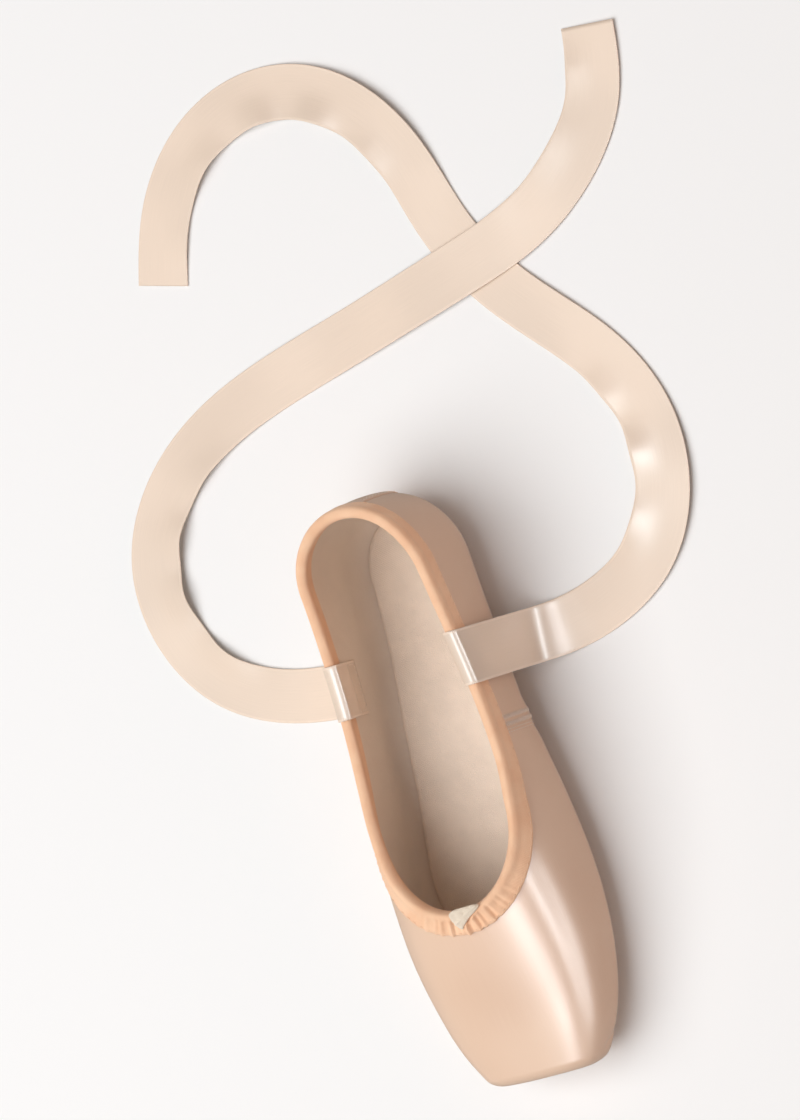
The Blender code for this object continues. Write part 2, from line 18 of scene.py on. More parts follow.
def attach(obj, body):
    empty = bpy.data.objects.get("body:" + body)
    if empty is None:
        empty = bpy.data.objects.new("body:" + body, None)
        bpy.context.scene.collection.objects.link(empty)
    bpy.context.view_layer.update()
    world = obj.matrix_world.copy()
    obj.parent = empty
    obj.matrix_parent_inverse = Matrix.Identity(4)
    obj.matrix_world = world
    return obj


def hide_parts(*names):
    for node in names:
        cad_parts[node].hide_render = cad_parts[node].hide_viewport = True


bl_info = {
    "name": "Pointe shoe looks",
    "version": (1, 0, 0),
    "blender": (4, 5, 0),
    "location": "3D View > Sidebar > Pointe shoe",
    "description": "Adds the visible surfaces of a pointe shoe to its packed frame",
    "category": "Object",
}

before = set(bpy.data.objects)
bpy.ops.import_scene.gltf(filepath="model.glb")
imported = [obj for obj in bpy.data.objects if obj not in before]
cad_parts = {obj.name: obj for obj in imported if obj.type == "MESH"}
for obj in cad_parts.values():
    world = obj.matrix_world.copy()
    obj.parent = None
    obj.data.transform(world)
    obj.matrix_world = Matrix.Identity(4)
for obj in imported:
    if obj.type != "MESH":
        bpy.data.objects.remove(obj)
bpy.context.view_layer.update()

MM = 0.001

# Driving dimensions, as in the part; lengths are in millimetres wherever a comment doesn't say metres
LENGTH = 236.0
VAMP_LENGTH = 71.0
HEEL_CENTRE = 32.0
THROAT_DEPTH = 36.0
THROAT_HALF_WIDTH = 30.0
THROAT_BLEND = (19.0, 16.0)
PLATFORM_ROUNDING = 4.0
BOX_WALL = 3.0
QUARTER_WALL = 1.5
WALL_THICKENS = (120.0, 200.0)
SOLE_THICKNESS = 3.0
SOLE_BEVEL = 0.8
SOLE_HEEL_END = 14.0
SOLE_TIP = 207.0
SOLE_WIDEST = 157.0
MARGIN_UNDER_SOLE = 4.5
HEEL_FLAT_END = 52.0
FOREFOOT_FLAT_START = 130.0
FOREFOOT_FLAT_END = 188.0
ARCH_LIFT = 2.6
TOE_SPRING = 2.6
SOLE_FOLLOWS_AFTER = 0.3
INSOLE_THICKNESS = 2.4
INSOLE_FROM_WALL = 9.0
INSOLE_GAP = 0.45
INSOLE_NOSE_START = 150.0
INSOLE_TIP = 212.0
TAPE_THICKNESS = 0.9
BINDING_OUTSIDE = 7.8
BINDING_INSIDE = 6.0
BINDING_CREST = 0.1
STRIP_HALF_WIDTH = 6.8
RIBBON_WIDTH = 22.0
RIBBON_LENGTH = 500.0
RIBBON_STATION = 70.0
RIBBON_CORNER = 0.9
RIBBON_STEP = 9.0
CAD_RIBBON_THICKNESS = 0.6
GAP = 0.3
BINDING_GAP = 0.45
BINDING_INNER_GAP = 0.7
SEAM_STATION = 98.0

THROAT = LENGTH - VAMP_LENGTH
THROAT_BACK = THROAT - THROAT_DEPTH
MIDDLE = LENGTH / 2

# The last: one row for each station
LAST_COLUMNS = ("station", "half_width", "widest_height", "crown_height", "crown_power", "base_power")
LAST = (
    (0.0, 28.5, 25.0, 102.0, 2.00, 3.0),
    (32.0, 28.5, 24.0, 101.0, 2.00, 3.4),
    (60.0, 29.8, 22.0, 97.0, 2.00, 3.6),
    (90.0, 32.2, 20.2, 86.0, 2.02, 3.8),
    (115.0, 35.4, 18.8, 72.5, 2.06, 3.9),
    (140.0, 39.1, 17.8, 61.0, 2.14, 4.0),
    (166.0, 41.0, 17.0, 53.2, 2.24, 4.0),
    (185.0, 40.2, 16.4, 47.8, 2.32, 3.8),
    (205.0, 36.9, 16.4, 41.4, 2.44, 3.5),
    (221.0, 31.8, 17.2, 36.2, 2.60, 3.2),
    (236.0, 23.7, 18.6, 31.4, 2.80, 3.0),
)

# Height of the topline behind the throat
TOPLINE_COLUMNS = ("station", "height")
TOPLINE = (
    (0.0, 58.5),
    (14.0, 57.4),
    (32.0, 53.8),
    (60.0, 48.4),
    (90.0, 45.0),
    (110.0, 45.2),
    (129.0, 47.2),
    (148.0, 50.4),
)

# Outline of the sole between its heel and its widest place
SOLE_COLUMNS = ("station", "half_width")
SOLE = (
    (32.0, 17.6),
    (52.0, 17.2),
    (72.0, 15.7),
    (92.0, 15.0),
    (112.0, 17.2),
    (130.0, 21.2),
    (144.0, 24.4),
    (157.0, 25.5),
)

# Route of each ribbon on the floor, from the end of its fall beside the shoe, in the frame's axes
ROUTE_COLUMNS = ("x", "y", "height")
LEFT_ROUTE = (
    (-48.0, 43.0, 6.0),
    (-48.3, 50.0, 2.0),
    (-49.5, 59.0, 0.7),
    (-54.0, 75.0, 0.6),
    (-66.0, 95.0, 1.4),
    (-88.0, 109.0, 2.6),
    (-116.0, 111.0, 1.6),
    (-143.0, 100.0, 0.7),
    (-166.0, 81.0, 0.6),
    (-190.0, 62.0, 0.6),
    (-216.0, 50.0, 0.6),
    (-243.0, 42.0, 1.4),
    (-266.0, 28.0, 2.4),
    (-281.0, 5.0, 1.2),
    (-283.0, -22.0, 0.6),
    (-272.0, -47.0, 0.6),
    (-251.0, -65.0, 0.6),
    (-225.0, -75.0, 0.6),
)
RIGHT_ROUTE = (
    (-48.0, -43.0, 6.0),
    (-48.3, -50.0, 2.0),
    (-49.2, -59.0, 0.7),
    (-53.0, -76.0, 0.6),
    (-66.0, -99.0, 0.8),
    (-90.0, -113.0, 1.8),
    (-119.0, -113.0, 3.0),
    (-145.0, -98.0, 1.4),
    (-163.0, -72.0, 0.7),
    (-173.0, -42.0, 0.6),
    (-180.0, -10.0, 0.7),
    (-187.0, 23.0, 1.4),
    (-194.0, 55.0, 2.3),
    (-203.0, 85.0, 1.4),
    (-219.0, 110.0, 0.7),
    (-241.0, 127.0, 0.6),
    (-268.0, 133.0, 0.6),
)

# Depths of a ribbon's sewn end below the topline
SEWN_DEPTHS = (22.0, 17.0, 12.5)

# Its rows of running stitches: from a length from the sewn end and a place across, to another such pair
SEWN_LINES = (
    (1.4, -9.2, 1.4, 9.2),
    (12.5, -9.2, 12.5, 9.2),
    (1.4, -9.4, 12.5, -9.4),
    (1.4, 9.4, 12.5, 9.4),
)
SEWN_PITCH = 2.3
SEWN_SHARE = 0.6  # a stitch's share of the pitch
SEWN_STEP = 0.02  # the share of a row over which its heading is read

# Its turn over the binding: how far its two sides drop and its middle rises, as shares of its corner
TURN_DROP = 0.7
TURN_RISE = 0.3

# Its fall outside the quarter: distance out from the binding, and height above the edge
FALL = (
    (0.2, -0.5),
    (2.2, -7.8),
    (4.0, -20.0),
    (7.5, -32.0),
)

# Knife pleats under the toe, in plan: from a station and a place across at the sole's edge, to another such
# pair towards the platform, depth, width; each opens outwards
PLEATS = (
    (201.0, -13.6, 213.0, -29.5, 0.50, 1.0),
    (202.6, -11.6, 221.5, -25.8, 0.90, 1.3),
    (203.8, -9.4, 231.0, -18.9, 1.10, 1.5),
    (205.4, -5.8, 233.5, -9.5, 1.50, 2.0),
    (207.5, -1.3, 233.0, 2.6, 0.35, 2.6),
    (207.0, 3.6, 231.0, 9.0, 0.30, 2.6),
    (204.2, 9.0, 234.5, 19.4, 1.40, 2.0),
    (202.8, 11.4, 222.0, 27.3, 1.00, 1.3),
    (199.6, 15.0, 211.0, 26.4, 0.50, 1.0),
)

# Creases of the satin: the side they are on, from a run and a girth, to a run and a girth, depth, width
CREASES = (
    (1, 225.0, -7.0, 231.5, 4.0, 0.30, 1.2),
    (-1, 225.0, -7.0, 231.5, 3.0, 0.30, 1.2),
    (1, 150.0, 30.0, 236.0, 12.0, 0.30, 4.0),
    (-1, 150.0, 30.0, 236.0, 13.0, 0.20, 4.5),
    (1, 101.0, -12.0, 108.0, 4.0, 0.35, 3.0),
    (1, 92.0, -10.0, 84.0, 6.0, 0.30, 3.2),
    (-1, 102.0, -11.0, 110.0, 6.0, 0.30, 3.2),
    (-1, 93.0, -12.0, 86.0, 3.0, 0.30, 3.0),
    (1, 60.0, 22.0, 44.0, 12.0, 0.25, 4.0),
    (-1, 58.0, 23.0, 42.0, 12.0, 0.25, 4.0),
)

# The faces of the binding's flaps, the outer one upwards and the inner one downwards: depth below the upper's
# edge, as a share of the flap, and how proud it stands
BINDING_OUTER_FACE = (
    (0.974, -0.10),
    (0.85, 0.00),
    (0.62, 0.02),
    (0.40, -0.04),
    (0.24, 0.10),
    (0.08, 0.24),
)
BINDING_INNER_FACE = (
    (0.08, 0.10),
    (0.50, 0.00),
    (0.96, -0.08),
)

# The rest of its section. The shoulders beside the crest are shares of the tape's distance off the upper
BINDING_CLEAR = 0.3  # how far the hidden side keeps below and above the upper's edge
BINDING_OUTER_BACK = (0.5, 0.95)  # depths behind each flap, as shares of it
BINDING_INNER_BACK = (0.94, 0.05)
BINDING_HEM = 0.35  # how far the outer hem's fold stands off the tape's back
BINDING_INNER_HEM = 0.4  # the same of the inner one, as a share of the tape
BINDING_SHOULDERS = (0.7, 0.72, 0.38)  # height, the outer one's way out, the inner one's way back

# The folded end of the drawstring, a wedge with its point ahead: places ahead of the upper's edge and across
TAB_OUTLINE = (
    (4.8, -1.2),
    (3.4, -3.0),
    (0.4, -4.4),
    (-2.2, -4.4),
    (-3.4, -2.0),
    (-3.6, 4.0),
    (-3.2, 8.4),
    (-1.8, 8.0),
    (1.0, 3.2),
    (3.6, 0.0),
)
TAB_THICKNESS = 1.5
TAB_FULLNESS = (0.4, 0.8)  # powers of the cosine and the sine that round its section

# Relief of the tab: a ridge is given by its height, its middle and its width. Two of them run aslant
TAB_SLANT = 0.5
TAB_RIDGE = (0.30, 0.6, 0.6)
TAB_GROOVE = (0.25, -0.5, 0.5)
TAB_END_FOLD = (0.3, 7.0, 1.6)
TAB_RUMPLE = (0.12, 1.5, 0.8)  # height, and radians for a millimetre across and back
TAB_RELIEF_BELOW = 0.25  # the relief's share on the underside
TAB_CREST = 1.4  # where it starts to fall behind the binding's crest
TAB_FALL_BEHIND = 0.10
TAB_FALL_ASIDE = 0.012

# The slit in the binding beside it
SLIT_START = 5.0  # where it crosses the upper's edge, from the centre front
SLIT_SLANT = -1.55  # how far it moves for a millimetre down the tape
SLIT_DEPTH = 0.9
SLIT_WIDTH = 0.32
SLIT_LIP = (0.3, 0.9, 0.7)  # a ridge
SLIT_UPPER_END = (-2.2, -1.0)
SLIT_LOWER_END = (2.8, 5.4)

# Gathers of the binding: each wave has a height, radians for a millimetre and a phase
PUCKER_WAVES = ((1.0, 2.1, 0.6), (0.8, 1.37, 2.0), (0.5, 3.3, 0.0))
PUCKER_SLOW_WAVES = ((0.5, 0.42, 1.0), (0.5, 0.73, 0.0))
PUCKER_SLANT = 0.3  # phase of the last slow wave for a millimetre down the tape
PUCKER_SPREAD = 17.0  # how far they reach from the centre front
PUCKER_ELSEWHERE = 0.22
PUCKER_IN_FRONT = 0.4
PUCKER_START = (-0.5, 2.5)
PUCKER_END = (5.5, 8.0)
BINDING_RELIEF_FROM = 0.3  # relief is on what stands this far off the tape's hidden side
HEM_WAVES = 0.35
HEM_DEPTH = 4.0
HEM_START = (5.0, 7.5)
HEM_STITCHES_UP = 1.0
HEM_STITCHES_END = 8.0  # how far from the back seam they stop
STITCH_SINK = 0.02

# Folds of the satin, as shares of each fold's depth, width or length
CREASE_RIDGE = (0.45, 2.2, 1.8)  # the ridge beside a crease
PLEAT_LIP = 0.55
PLEAT_RISE = 2.4
FOLD_START = (-0.08, 0.10)
FOLD_END = (0.70, 1.0)
PLEAT_STEP = 0.9  # half the width of a pleat's step, in millimetres

# Where the pleats show: by the share below the widest line, and by the distance outside the sole
UNDERSIDE = (0.25, 0.8)
PLEATS_START = (-1.2, 0.3)

# Fine gathers of the satin round the throat: each wave has a height, waves for a radian and a phase
GATHER_HEIGHT = 0.10
GATHER_WAVES = ((1.0, 62.0, 1.3), (0.6, 41.0, 0.0))
GATHER_SPREAD = 0.75  # how far they spread aside of the centre front, in radians
GATHER_REACH = 6.0
GATHER_START = (-4.0, 2.0)

# The ridge over the side seam's allowance, from a girth up, and slow waves of the satin elsewhere
SEAM_RIDGE_HEIGHT = 0.12
SEAM_RIDGE_WIDTH = 3.4
SEAM_RIDGE_START = (-14.0, -8.0)
SEAM_MIDDLE = 0.1  # middle of its two zigzags, from the seam
SLOW_WAVE_HEIGHT = 0.10
SLOW_WAVE_LENGTH = 34.0
SLOW_WAVE_SEED = 5
SLOW_WAVES_START = (-10.0, 25.0)
WAVE_COUNT = 9

# Layers of the wall
SKIN_DEPTH = 0.35  # how deep in it the satin's hidden side lies, as a share
LINING_GAP = 0.05

# Edge of the sock
SOCK_EDGE = 0.25  # its thickness there, as a share
SOCK_EDGE_POWER = 10

# The strip over the back seam: heights are off the last, and the ends that thin out are shares of its length
STRIP_LENGTH = 46.0
STRIP_HEIGHT = 0.75
STRIP_OFF = 0.10
STRIP_BACK = 0.04
STRIP_UNDER_SOLE = 1.0
STRIP_UNDER_TAPE = 2.0
STRIP_FOOT = (0.0, 0.05)
STRIP_HEAD = (0.93, 0.97)
STRIP_TUCKED = 0.12  # the share of its height that is left at the ends

# Its rows of stitches, from its middle, sink in, and the satin is dragged into fine waves between two of them
STRIP_STITCH_ROWS = (-5.9, -4.7, 4.7, 5.9)
STRIP_STITCH_SHARES = (0.06, 0.93, 0.052)  # first, end and step, as shares of its length
STRIP_STITCH_SEAT = 0.62
STRIP_STITCH_LENGTH = 1.7
STRIP_CHANNEL = 0.14
STRIP_CHANNEL_WIDTH = 0.5
STRIP_DRAG = (0.06, 46.0, 9.0)  # height, and radians up the strip and across half of it
STRIP_DRAG_LINE = 5.3
STRIP_DRAG_WIDTH = 1.4

# The side seam's stitches: the middles of its zigzags and of its straight lines, from the seam
SEAM_ZIGZAGS = (-1.3, 1.5)
SEAM_ZIGZAG_WIDTH = 2.2
SEAM_ZIGZAG_PITCH = 1.25
SEAM_ZIGZAG_LIFT = 0.13
SEAM_LINES = (3.6, 4.8)
SEAM_LINE_PITCH = 1.9
SEAM_LINE_STITCH = 1.3
SEAM_LINE_LIFT = 0.09
SEAM_BELOW_BINDING = 0.4
SEAM_BESIDE_SOLE = 0.8

# A stitch is a rod, shaped in shares of its radius
STITCH_TIP = 0.02  # square of its thickness at the tips
STITCH_DIP = 1.1
STITCH_LIFT = 0.5
STITCH_CAP = ((0, 1, 2, 3), (0, 3, 4, 5))

# Points across a ribbon, as shares of its half width, and shares of its thickness at the woven edge
RIBBON_SHARES = (-1, -0.975, -0.93, -0.75, -0.5, -0.25, 0, 0.25, 0.5, 0.75, 0.93, 0.975, 1)
SELVEDGE_FROM = 0.92
SELVEDGE_THICKER = 0.35
SELVEDGE_ROUNDED = 0.5

# A laid ribbon's waves. A wandering wave has millimetres for a radian, how far its phase drifts, and
# millimetres for a radian of that
WAVES_START = (95.0, 125.0)  # by the length from the sewn end
BEND_WINDOW = 15
BUCKLE_ACROSS = (-0.2, 1.1)  # by the share across, towards the inside of a bend
BUCKLE_BEND = (0.002, 0.02)  # by the bend, in radians for a millimetre
BUCKLE_WAVE = (6.4, 1.4, 31.0)
BUCKLE_SHARE = 1.1
LEAN_WAVE = (21.0, 1.0, 47.0)
LEAN_HEIGHT = 0.35
LEAN_SHARE = 0.7
RIBBON_CROSSING = (-193.0, 57.0)  # where the ribbons cross, in the frame's axes
CROSSING_CALM = 0.75
CROSSING_WIDTH = 26.0
RIBBON_SINK = 0.2

# The hatched forepart of the sole: its rear border is an arc with a round bay in the middle
HATCH_REAR = 121.0
HATCH_REAR_DROP = 6.0
HATCH_BAY_CENTRE = 119.5
HATCH_BAY_RADIUS = 12.6
HATCH_REAR_BEND = (11.6, 22.6)
HATCH_MARGIN = 1.5

# Each line of the hatch is a pair of fine grooves, this far to each side of its middle
HATCH_PAIR = 0.28

# What is pressed on the sole, or darkened at its edge as burnished leather and as painted shade, fades
# between two distances from its line, in metres
HATCH_GROOVE = (0.00005, 0.00022)
HATCH_STRIP = (0.0003, 0.0005)  # the shallow strip between a pair of grooves
HATCH_STRIP_DEPTH = 0.30
HATCH_BEGINS = (0.0002, 0.0006)
BORDER_LINE = (0.00012, 0.00042)
BURNISHED_SHADED_EDGE = (0.0001, 0.0011)
PRESSED_DARKER = 0.55
BURNISHED_SHADED_DARKER = 0.75

# Noise of the materials: how often it repeats in a metre, along each axis of the frame or of the cloth
SATIN_CLOUDS = (16, 16, 16)
SATIN_THREADS = (60, 4200, 1)
SATIN_SLUBS = (170, 900, 1)
COTTON_CLOUDS = (110, 110, 110)
COTTON_FUZZ = (900, 900, 900)
LEATHER_CLOUDS = (35, 70, 35)
LEATHER_GRAIN = (1500, 1500, 1500)
THREAD_TWIST = (2500, 2500, 2500)
FLOOR_SPECKS = (3, 3, 3)

# Values of the noise between which a material goes from its deep tone to its light one
SATIN_TONES = (0.42, 0.80)
COTTON_TONES = (0.2, 0.8)
LEATHER_TONES = (0.3, 0.7)
THREAD_TONES = (0.35, 0.65)

# Pitch and depth of each cotton's weave
LINING_WEAVE = (0.9, 0.05)
SOCK_WEAVE = (1.1, 0.07)
TAPE_WEAVE = (0.55, 0.05)
CORD_WEAVE = (0.95, 0.10)

# Roughness of what is glossier or duller than its like
SKIN_ROUGHNESS = 0.37
STRIP_ROUGHNESS = 0.34
RIBBON_ROUGHNESS = 0.36
TAPE_ROUGHNESS = 0.8

# How far the threads and the weave show in the tone, the gloss and the height; bumps are in metres
SATIN_THREADS_IN_TONE = 0.22
SATIN_GLOSS_SPAN = 0.10
SATIN_SLUB_HEIGHT = 1.2
SATIN_BUMP = 0.000016
COTTON_WEAVE_IN_TONE = 0.25
LEATHER_BUMP = 0.00004
THREAD_BUMP = 0.00003
SHEEN_ROUGHNESS = 0.4
COAT_ROUGHNESS = 0.22

# A ribbon's woven edge, in metres: its width, its blur, and the pitch and height of its ribs
WOVEN_EDGE = 0.001
WOVEN_EDGE_BLUR = 0.0001
WOVEN_EDGE_PITCH = 0.0006
WOVEN_EDGE_BUMP = 0.00005
WOVEN_EDGE_TONE = 1.08
WOVEN_EDGE_SHARE = 0.6
WOVEN_EDGE_DULLER = 0.25

# Deep tones of what has one colour, as shares of it
LINING_DEEP = 0.965
SOCK_DEEP = 0.93
CORD_DEEP = 0.9
RIBBON_DEEP = 0.9
THREAD_DEEP = 0.84
FLOOR_DEEP = 0.985

# Steps of the meshes
UPPER_STEPS = (34, 70, 44, 44, 84, 9)
UPPER_ROWS = (56, 28, 42)
UPPER_INNER_ROWS = (8, 8, 10)
LINING_STEPS = (16, 30, 18, 18, 14, 4)
LINING_ROWS = (12, 12, 14)
PLATFORM_STEPS = 9
BINDING_STEPS = (50, 90, 110)
BINDING_CROWDING = 1.5
BINDING_SMOOTHING = 3
BINDING_ROUND = 34.0
SOLE_STEPS = (40, 150, 70)
SOLE_ROWS = 34
SOLE_BEVEL_STEPS = 5
SOCK_STEPS = (24, 60, 30)
SOCK_ROWS = 20
STRIP_STEPS = (27, 70)
TAB_RINGS = 25
TAB_SMOOTHING = 9
RIBBON_SMOOTHING = 6
STITCH_RINGS = 7
STITCH_SIDES = 6
SECTION_TURNS = np.linspace(-90, 90, 361)
TUCK_TURN = -50.0
SHOULDER_TURN = 8.0

# Exactness of the shapes
SLOPE_STEP = 0.02
SETTLE_ROUNDS = 5
DOUBLES_APART = 2e-6  # metres
ON_PLANE = 1e-7  # metres

# The floor's half size, in metres, and the even light all round
FLOOR_REACH = 6.0
SKY_COLOUR = (1.0, 0.985, 0.97)
SKY_STRENGTH = 0.20

# The studio's lights: name, angles to the vertical aside and ahead, in degrees, distance and sizes across and
# along, in metres, strength, colour, whether it lights matt shading, and whether it shows in the gloss. The
# ones that show in the gloss draw the satin's streaks, and the others do the rest
LIGHTS_AIM = (0.03, 0.0, 0.03)
LIGHTS = (
    ("streak", 14.0, 19.0, 2.2, 0.80, 2.2, 1.00, (0.80, 0.90, 1.0), False, True),
    ("veil", -6.0, 19.0, 2.2, 1.1, 2.2, 0.18, (0.62, 0.87, 1.0), False, True),
    ("strip", 62.0, 12.0, 2.0, 0.34, 1.8, 0.74, (0.78, 0.91, 1.0), False, True),
    ("fill", 76.0, 0.0, 2.4, 1.6, 2.4, 0.14, (1.0, 0.38, 0.10), True, False),
    ("main", -24.0, 4.0, 3.2, 3.4, 3.4, 1.18, (1.0, 0.985, 0.97), True, False),
)

# The camera, in the frame's axes: the photograph's angle to the shoe, and how far it is rolled
CAMERA_TILT = 26.0
CAMERA_FORWARD = 1.0
CAMERA_ROLL = 16.5
CAMERA_AIM = (-0.0915, -0.0086, 0.0)
CAMERA_DISTANCE = 1.75
CAMERA_LENS = 142.0


class Curve:
    """A natural cubic spline through the rows of a table, for one of its columns."""

    def __init__(self, table, names, column, along="station"):
        rows = np.array(table, float)
        self.knots = rows[:, names.index(along)]
        self.values = rows[:, names.index(column)]
        count = len(self.knots)
        steps = np.diff(self.knots)
        slopes = np.diff(self.values) / steps
        system = np.eye(count)
        right = np.zeros(count)
        for row in range(1, count - 1):
            system[row, row - 1 : row + 2] = steps[row - 1], 2 * (steps[row - 1] + steps[row]), steps[row]
            right[row] = 6 * (slopes[row] - slopes[row - 1])
        self.bends = np.linalg.solve(system, right)

    def __call__(self, at):
        at = np.clip(np.asarray(at, float), self.knots[0], self.knots[-1])
        low = np.clip(np.searchsorted(self.knots, at) - 1, 0, len(self.knots) - 2)
        step = self.knots[low + 1] - self.knots[low]
        after = (at - self.knots[low]) / step
        before = 1 - after
        bend = (before**3 - before) * self.bends[low] + (after**3 - after) * self.bends[low + 1]
        return before * self.values[low] + after * self.values[low + 1] + bend * step**2 / 6


last = {name: Curve(LAST, LAST_COLUMNS, name) for name in LAST_COLUMNS[1:]}
topline_height = Curve(TOPLINE, TOPLINE_COLUMNS, "height")
sole_half_width = Curve(SOLE, SOLE_COLUMNS, "half_width")


def smooth_step(value, start, end):
    """Zero up to the start, one from the end, and 3t² - 2t³ between them."""
    t = np.clip((np.asarray(value, float) - start) / (end - start), 0, 1)
    return t * t * (3 - 2 * t)


def bell(distance, width):
    """A bell curve, 1 at no distance."""
    return np.exp(-((distance / width) ** 2))


def unit(vectors):
    """The vectors brought to a length of one."""
    return vectors / np.linalg.norm(vectors, axis=-1, keepdims=True)


def lengths_along(line):
    """Length from the first point of a line to each of its points."""
    return np.concatenate([[0], np.cumsum(np.linalg.norm(np.diff(line, axis=0), axis=1))])


def waves(at, rows):
    """A sum of sine waves, one for each row of height, radians for each step of the place, and phase."""
    return sum(height * np.sin(rate * at + phase) for height, rate, phase in rows)


def sole_lift(station):
    """Height of the sole's underside: a squared sine at the waist, and a parabola up to the toe."""
    station = np.asarray(station, float)
    toe = np.clip((station - FOREFOOT_FLAT_END) / (LENGTH - FOREFOOT_FLAT_END), 0, 1)
    waist = np.clip((station - HEEL_FLAT_END) / (FOREFOOT_FLAT_START - HEEL_FLAT_END), 0, 1)
    return TOE_SPRING * toe**2 + ARCH_LIFT * np.sin(math.pi * waist) ** 2


def rounding(station):
    """How far the sections draw in near the platform, along a quarter circle."""
    into = np.clip(np.asarray(station, float) - (LENGTH - PLATFORM_ROUNDING), 0, PLATFORM_ROUNDING)
    return PLATFORM_ROUNDING - np.sqrt(PLATFORM_ROUNDING**2 - into**2)


def base_height(station):
    """Height of the upper's underside at the spine."""
    return SOLE_THICKNESS + GAP + sole_lift(station) + rounding(station)


def crown_height(station):
    """Height of the last's crown at the spine."""
    return last["crown_height"](station) - rounding(station)


def fan_angle(station):
    """Angle of a station behind the heel centre: its cosine is how far behind that lies, as a share."""
    return np.arccos(np.clip(1 - np.asarray(station, float) / HEEL_CENTRE, 0, 1))


def fan_reach(angle, back, side):
    """Reach of an ellipse round the heel centre, in the direction of the angle."""
    return 1 / np.hypot(np.cos(angle) / back, np.sin(angle) / side)


def widest_reach(station):
    """Half width of the last at its widest line: half an ellipse behind the heel centre, the table ahead."""
    side = last["half_width"](station) - rounding(station)
    around = fan_reach(fan_angle(station), HEEL_CENTRE, last["half_width"](HEEL_CENTRE))
    return np.where(np.asarray(station) < HEEL_CENTRE, around, side)


def sole_reach(station, inset=0.0):
    """Reach of the sole's edge, or of an outline that lies an inset inside it.

    It is half an ellipse at the heel and at the nose, with the table's curve between them.
    """
    station = np.asarray(station, float)
    side = sole_half_width(HEEL_CENTRE) - inset
    around = fan_reach(fan_angle(station), HEEL_CENTRE - SOLE_HEEL_END - inset, side)
    along = (station - SOLE_WIDEST) / (SOLE_TIP - inset - SOLE_WIDEST)
    nose = (sole_half_width(SOLE_WIDEST) - inset) * np.sqrt(np.clip(1 - along**2, 0, 1))
    ahead = np.where(station > SOLE_WIDEST, nose, sole_half_width(station) - inset)
    return np.where(station < HEEL_CENTRE, around, ahead)


def place(station, reach, height):
    """The point, in the last's axes, at a reach from the spine: straight out, or fanned round the heel."""
    station, reach, height = np.broadcast_arrays(*(np.asarray(v, float) for v in (station, reach, height)))
    angle = fan_angle(station)
    fan = station < HEEL_CENTRE
    x = np.where(fan, HEEL_CENTRE - reach * np.cos(angle), station)
    y = np.where(fan, reach * np.sin(angle), reach)
    return np.stack([x, y, height], axis=-1)


def sections(stations):
    """Half sections of the last, a row for each station: two quarter superellipses that meet at its widest.

    Gives the reach, the height and the length so far, from under the sole to the crown.
    """
    station = np.asarray(stations, float)[:, None]
    turn = np.radians(SECTION_TURNS)[None]
    power = np.where(turn < 0, last["base_power"](station), last["crown_power"](station))
    across = np.abs(np.cos(turn))
    up = np.abs(np.sin(turn))
    size = (across**power + up**power) ** (-1 / power)
    widest = last["widest_height"](station)
    span = np.where(turn < 0, base_height(station), crown_height(station)) - widest
    reach = size * across * widest_reach(station)
    reach[:, [0, -1]] = 0
    height = widest + size * up * span
    steps = np.hypot(np.diff(reach, axis=1), np.diff(height, axis=1))
    length = np.concatenate([np.zeros_like(station), np.cumsum(steps, axis=1)], axis=1)
    return reach, height, length


def read(at, along, values):
    """Values read at places along each section, a row for each station."""
    return np.stack([np.interp(a, x, v) for a, x, v in zip(at, along, values)])


def top_lengths(stations, reach, height, length):
    """Length along each section to the topline: at a height behind, and at half an ellipse in plan ahead."""
    half = reach.shape[1] // 2
    by_height = read(topline_height(stations)[:, None], height[:, half:], length[:, half:])[:, 0]
    ahead = np.clip((stations - THROAT_BACK) / THROAT_DEPTH, 0, 1)
    plan = THROAT_HALF_WIDTH * np.sqrt(1 - ahead**2)
    by_plan = read(plan[:, None], reach[:, :half:-1], length[:, :half:-1])[:, 0]
    share = smooth_step(stations, THROAT_BACK - THROAT_BLEND[0], THROAT_BACK + THROAT_BLEND[1])
    cut = by_plan * share + by_height * (1 - share)
    return np.where(stations >= THROAT, length[:, -1], cut)


def run_of(stations):
    """Distance of each station along the side of the shoe: the station itself, ahead of the heel centre."""
    behind = HEEL_CENTRE - HEEL_CENTRE * (math.pi / 2 - fan_angle(stations))
    return np.where(stations < HEEL_CENTRE, behind, stations)


def on_last(stations, girths):
    """Points of the last at places given by station and girth, and the outward normals there."""
    reach, height, length = sections(stations)
    at = length[:, length.shape[1] // 2, None] + girths
    points = place(stations[:, None], read(at, length, reach), read(at, length, height))
    return points, normals_of(points)


def wall_thickness(station):
    """Thickness of the upper: thin at the quarters, thick at the box, and a smooth step between them."""
    return QUARTER_WALL + (BOX_WALL - QUARTER_WALL) * smooth_step(station, *WALL_THICKENS)


def misfit(points):
    """How far points miss the last: shares of its width and height, each to the section's power, less 1.

    It is zero on the surface, negative inside it and positive outside.
    """
    x, y, z = points[..., 0], np.abs(points[..., 1]), points[..., 2]
    behind = HEEL_CENTRE - x
    angle = np.arctan2(y, np.maximum(behind, 1e-9))
    fan = behind > 0
    station = np.where(fan, HEEL_CENTRE * (1 - np.cos(angle)), x)
    reach = np.where(fan, np.hypot(behind, y), y)
    widest = last["widest_height"](station)
    above = z > widest
    power = np.where(above, last["crown_power"](station), last["base_power"](station))
    span = np.where(above, crown_height(station), base_height(station)) - widest
    return (reach / widest_reach(station)) ** power + np.abs((z - widest) / span) ** power - 1


def slope(points):
    """Gradient of the misfit, by central differences."""
    steps = SLOPE_STEP * np.eye(3)
    rises = [misfit(points + step) - misfit(points - step) for step in steps]
    return np.stack(rises, axis=-1) / (2 * SLOPE_STEP)


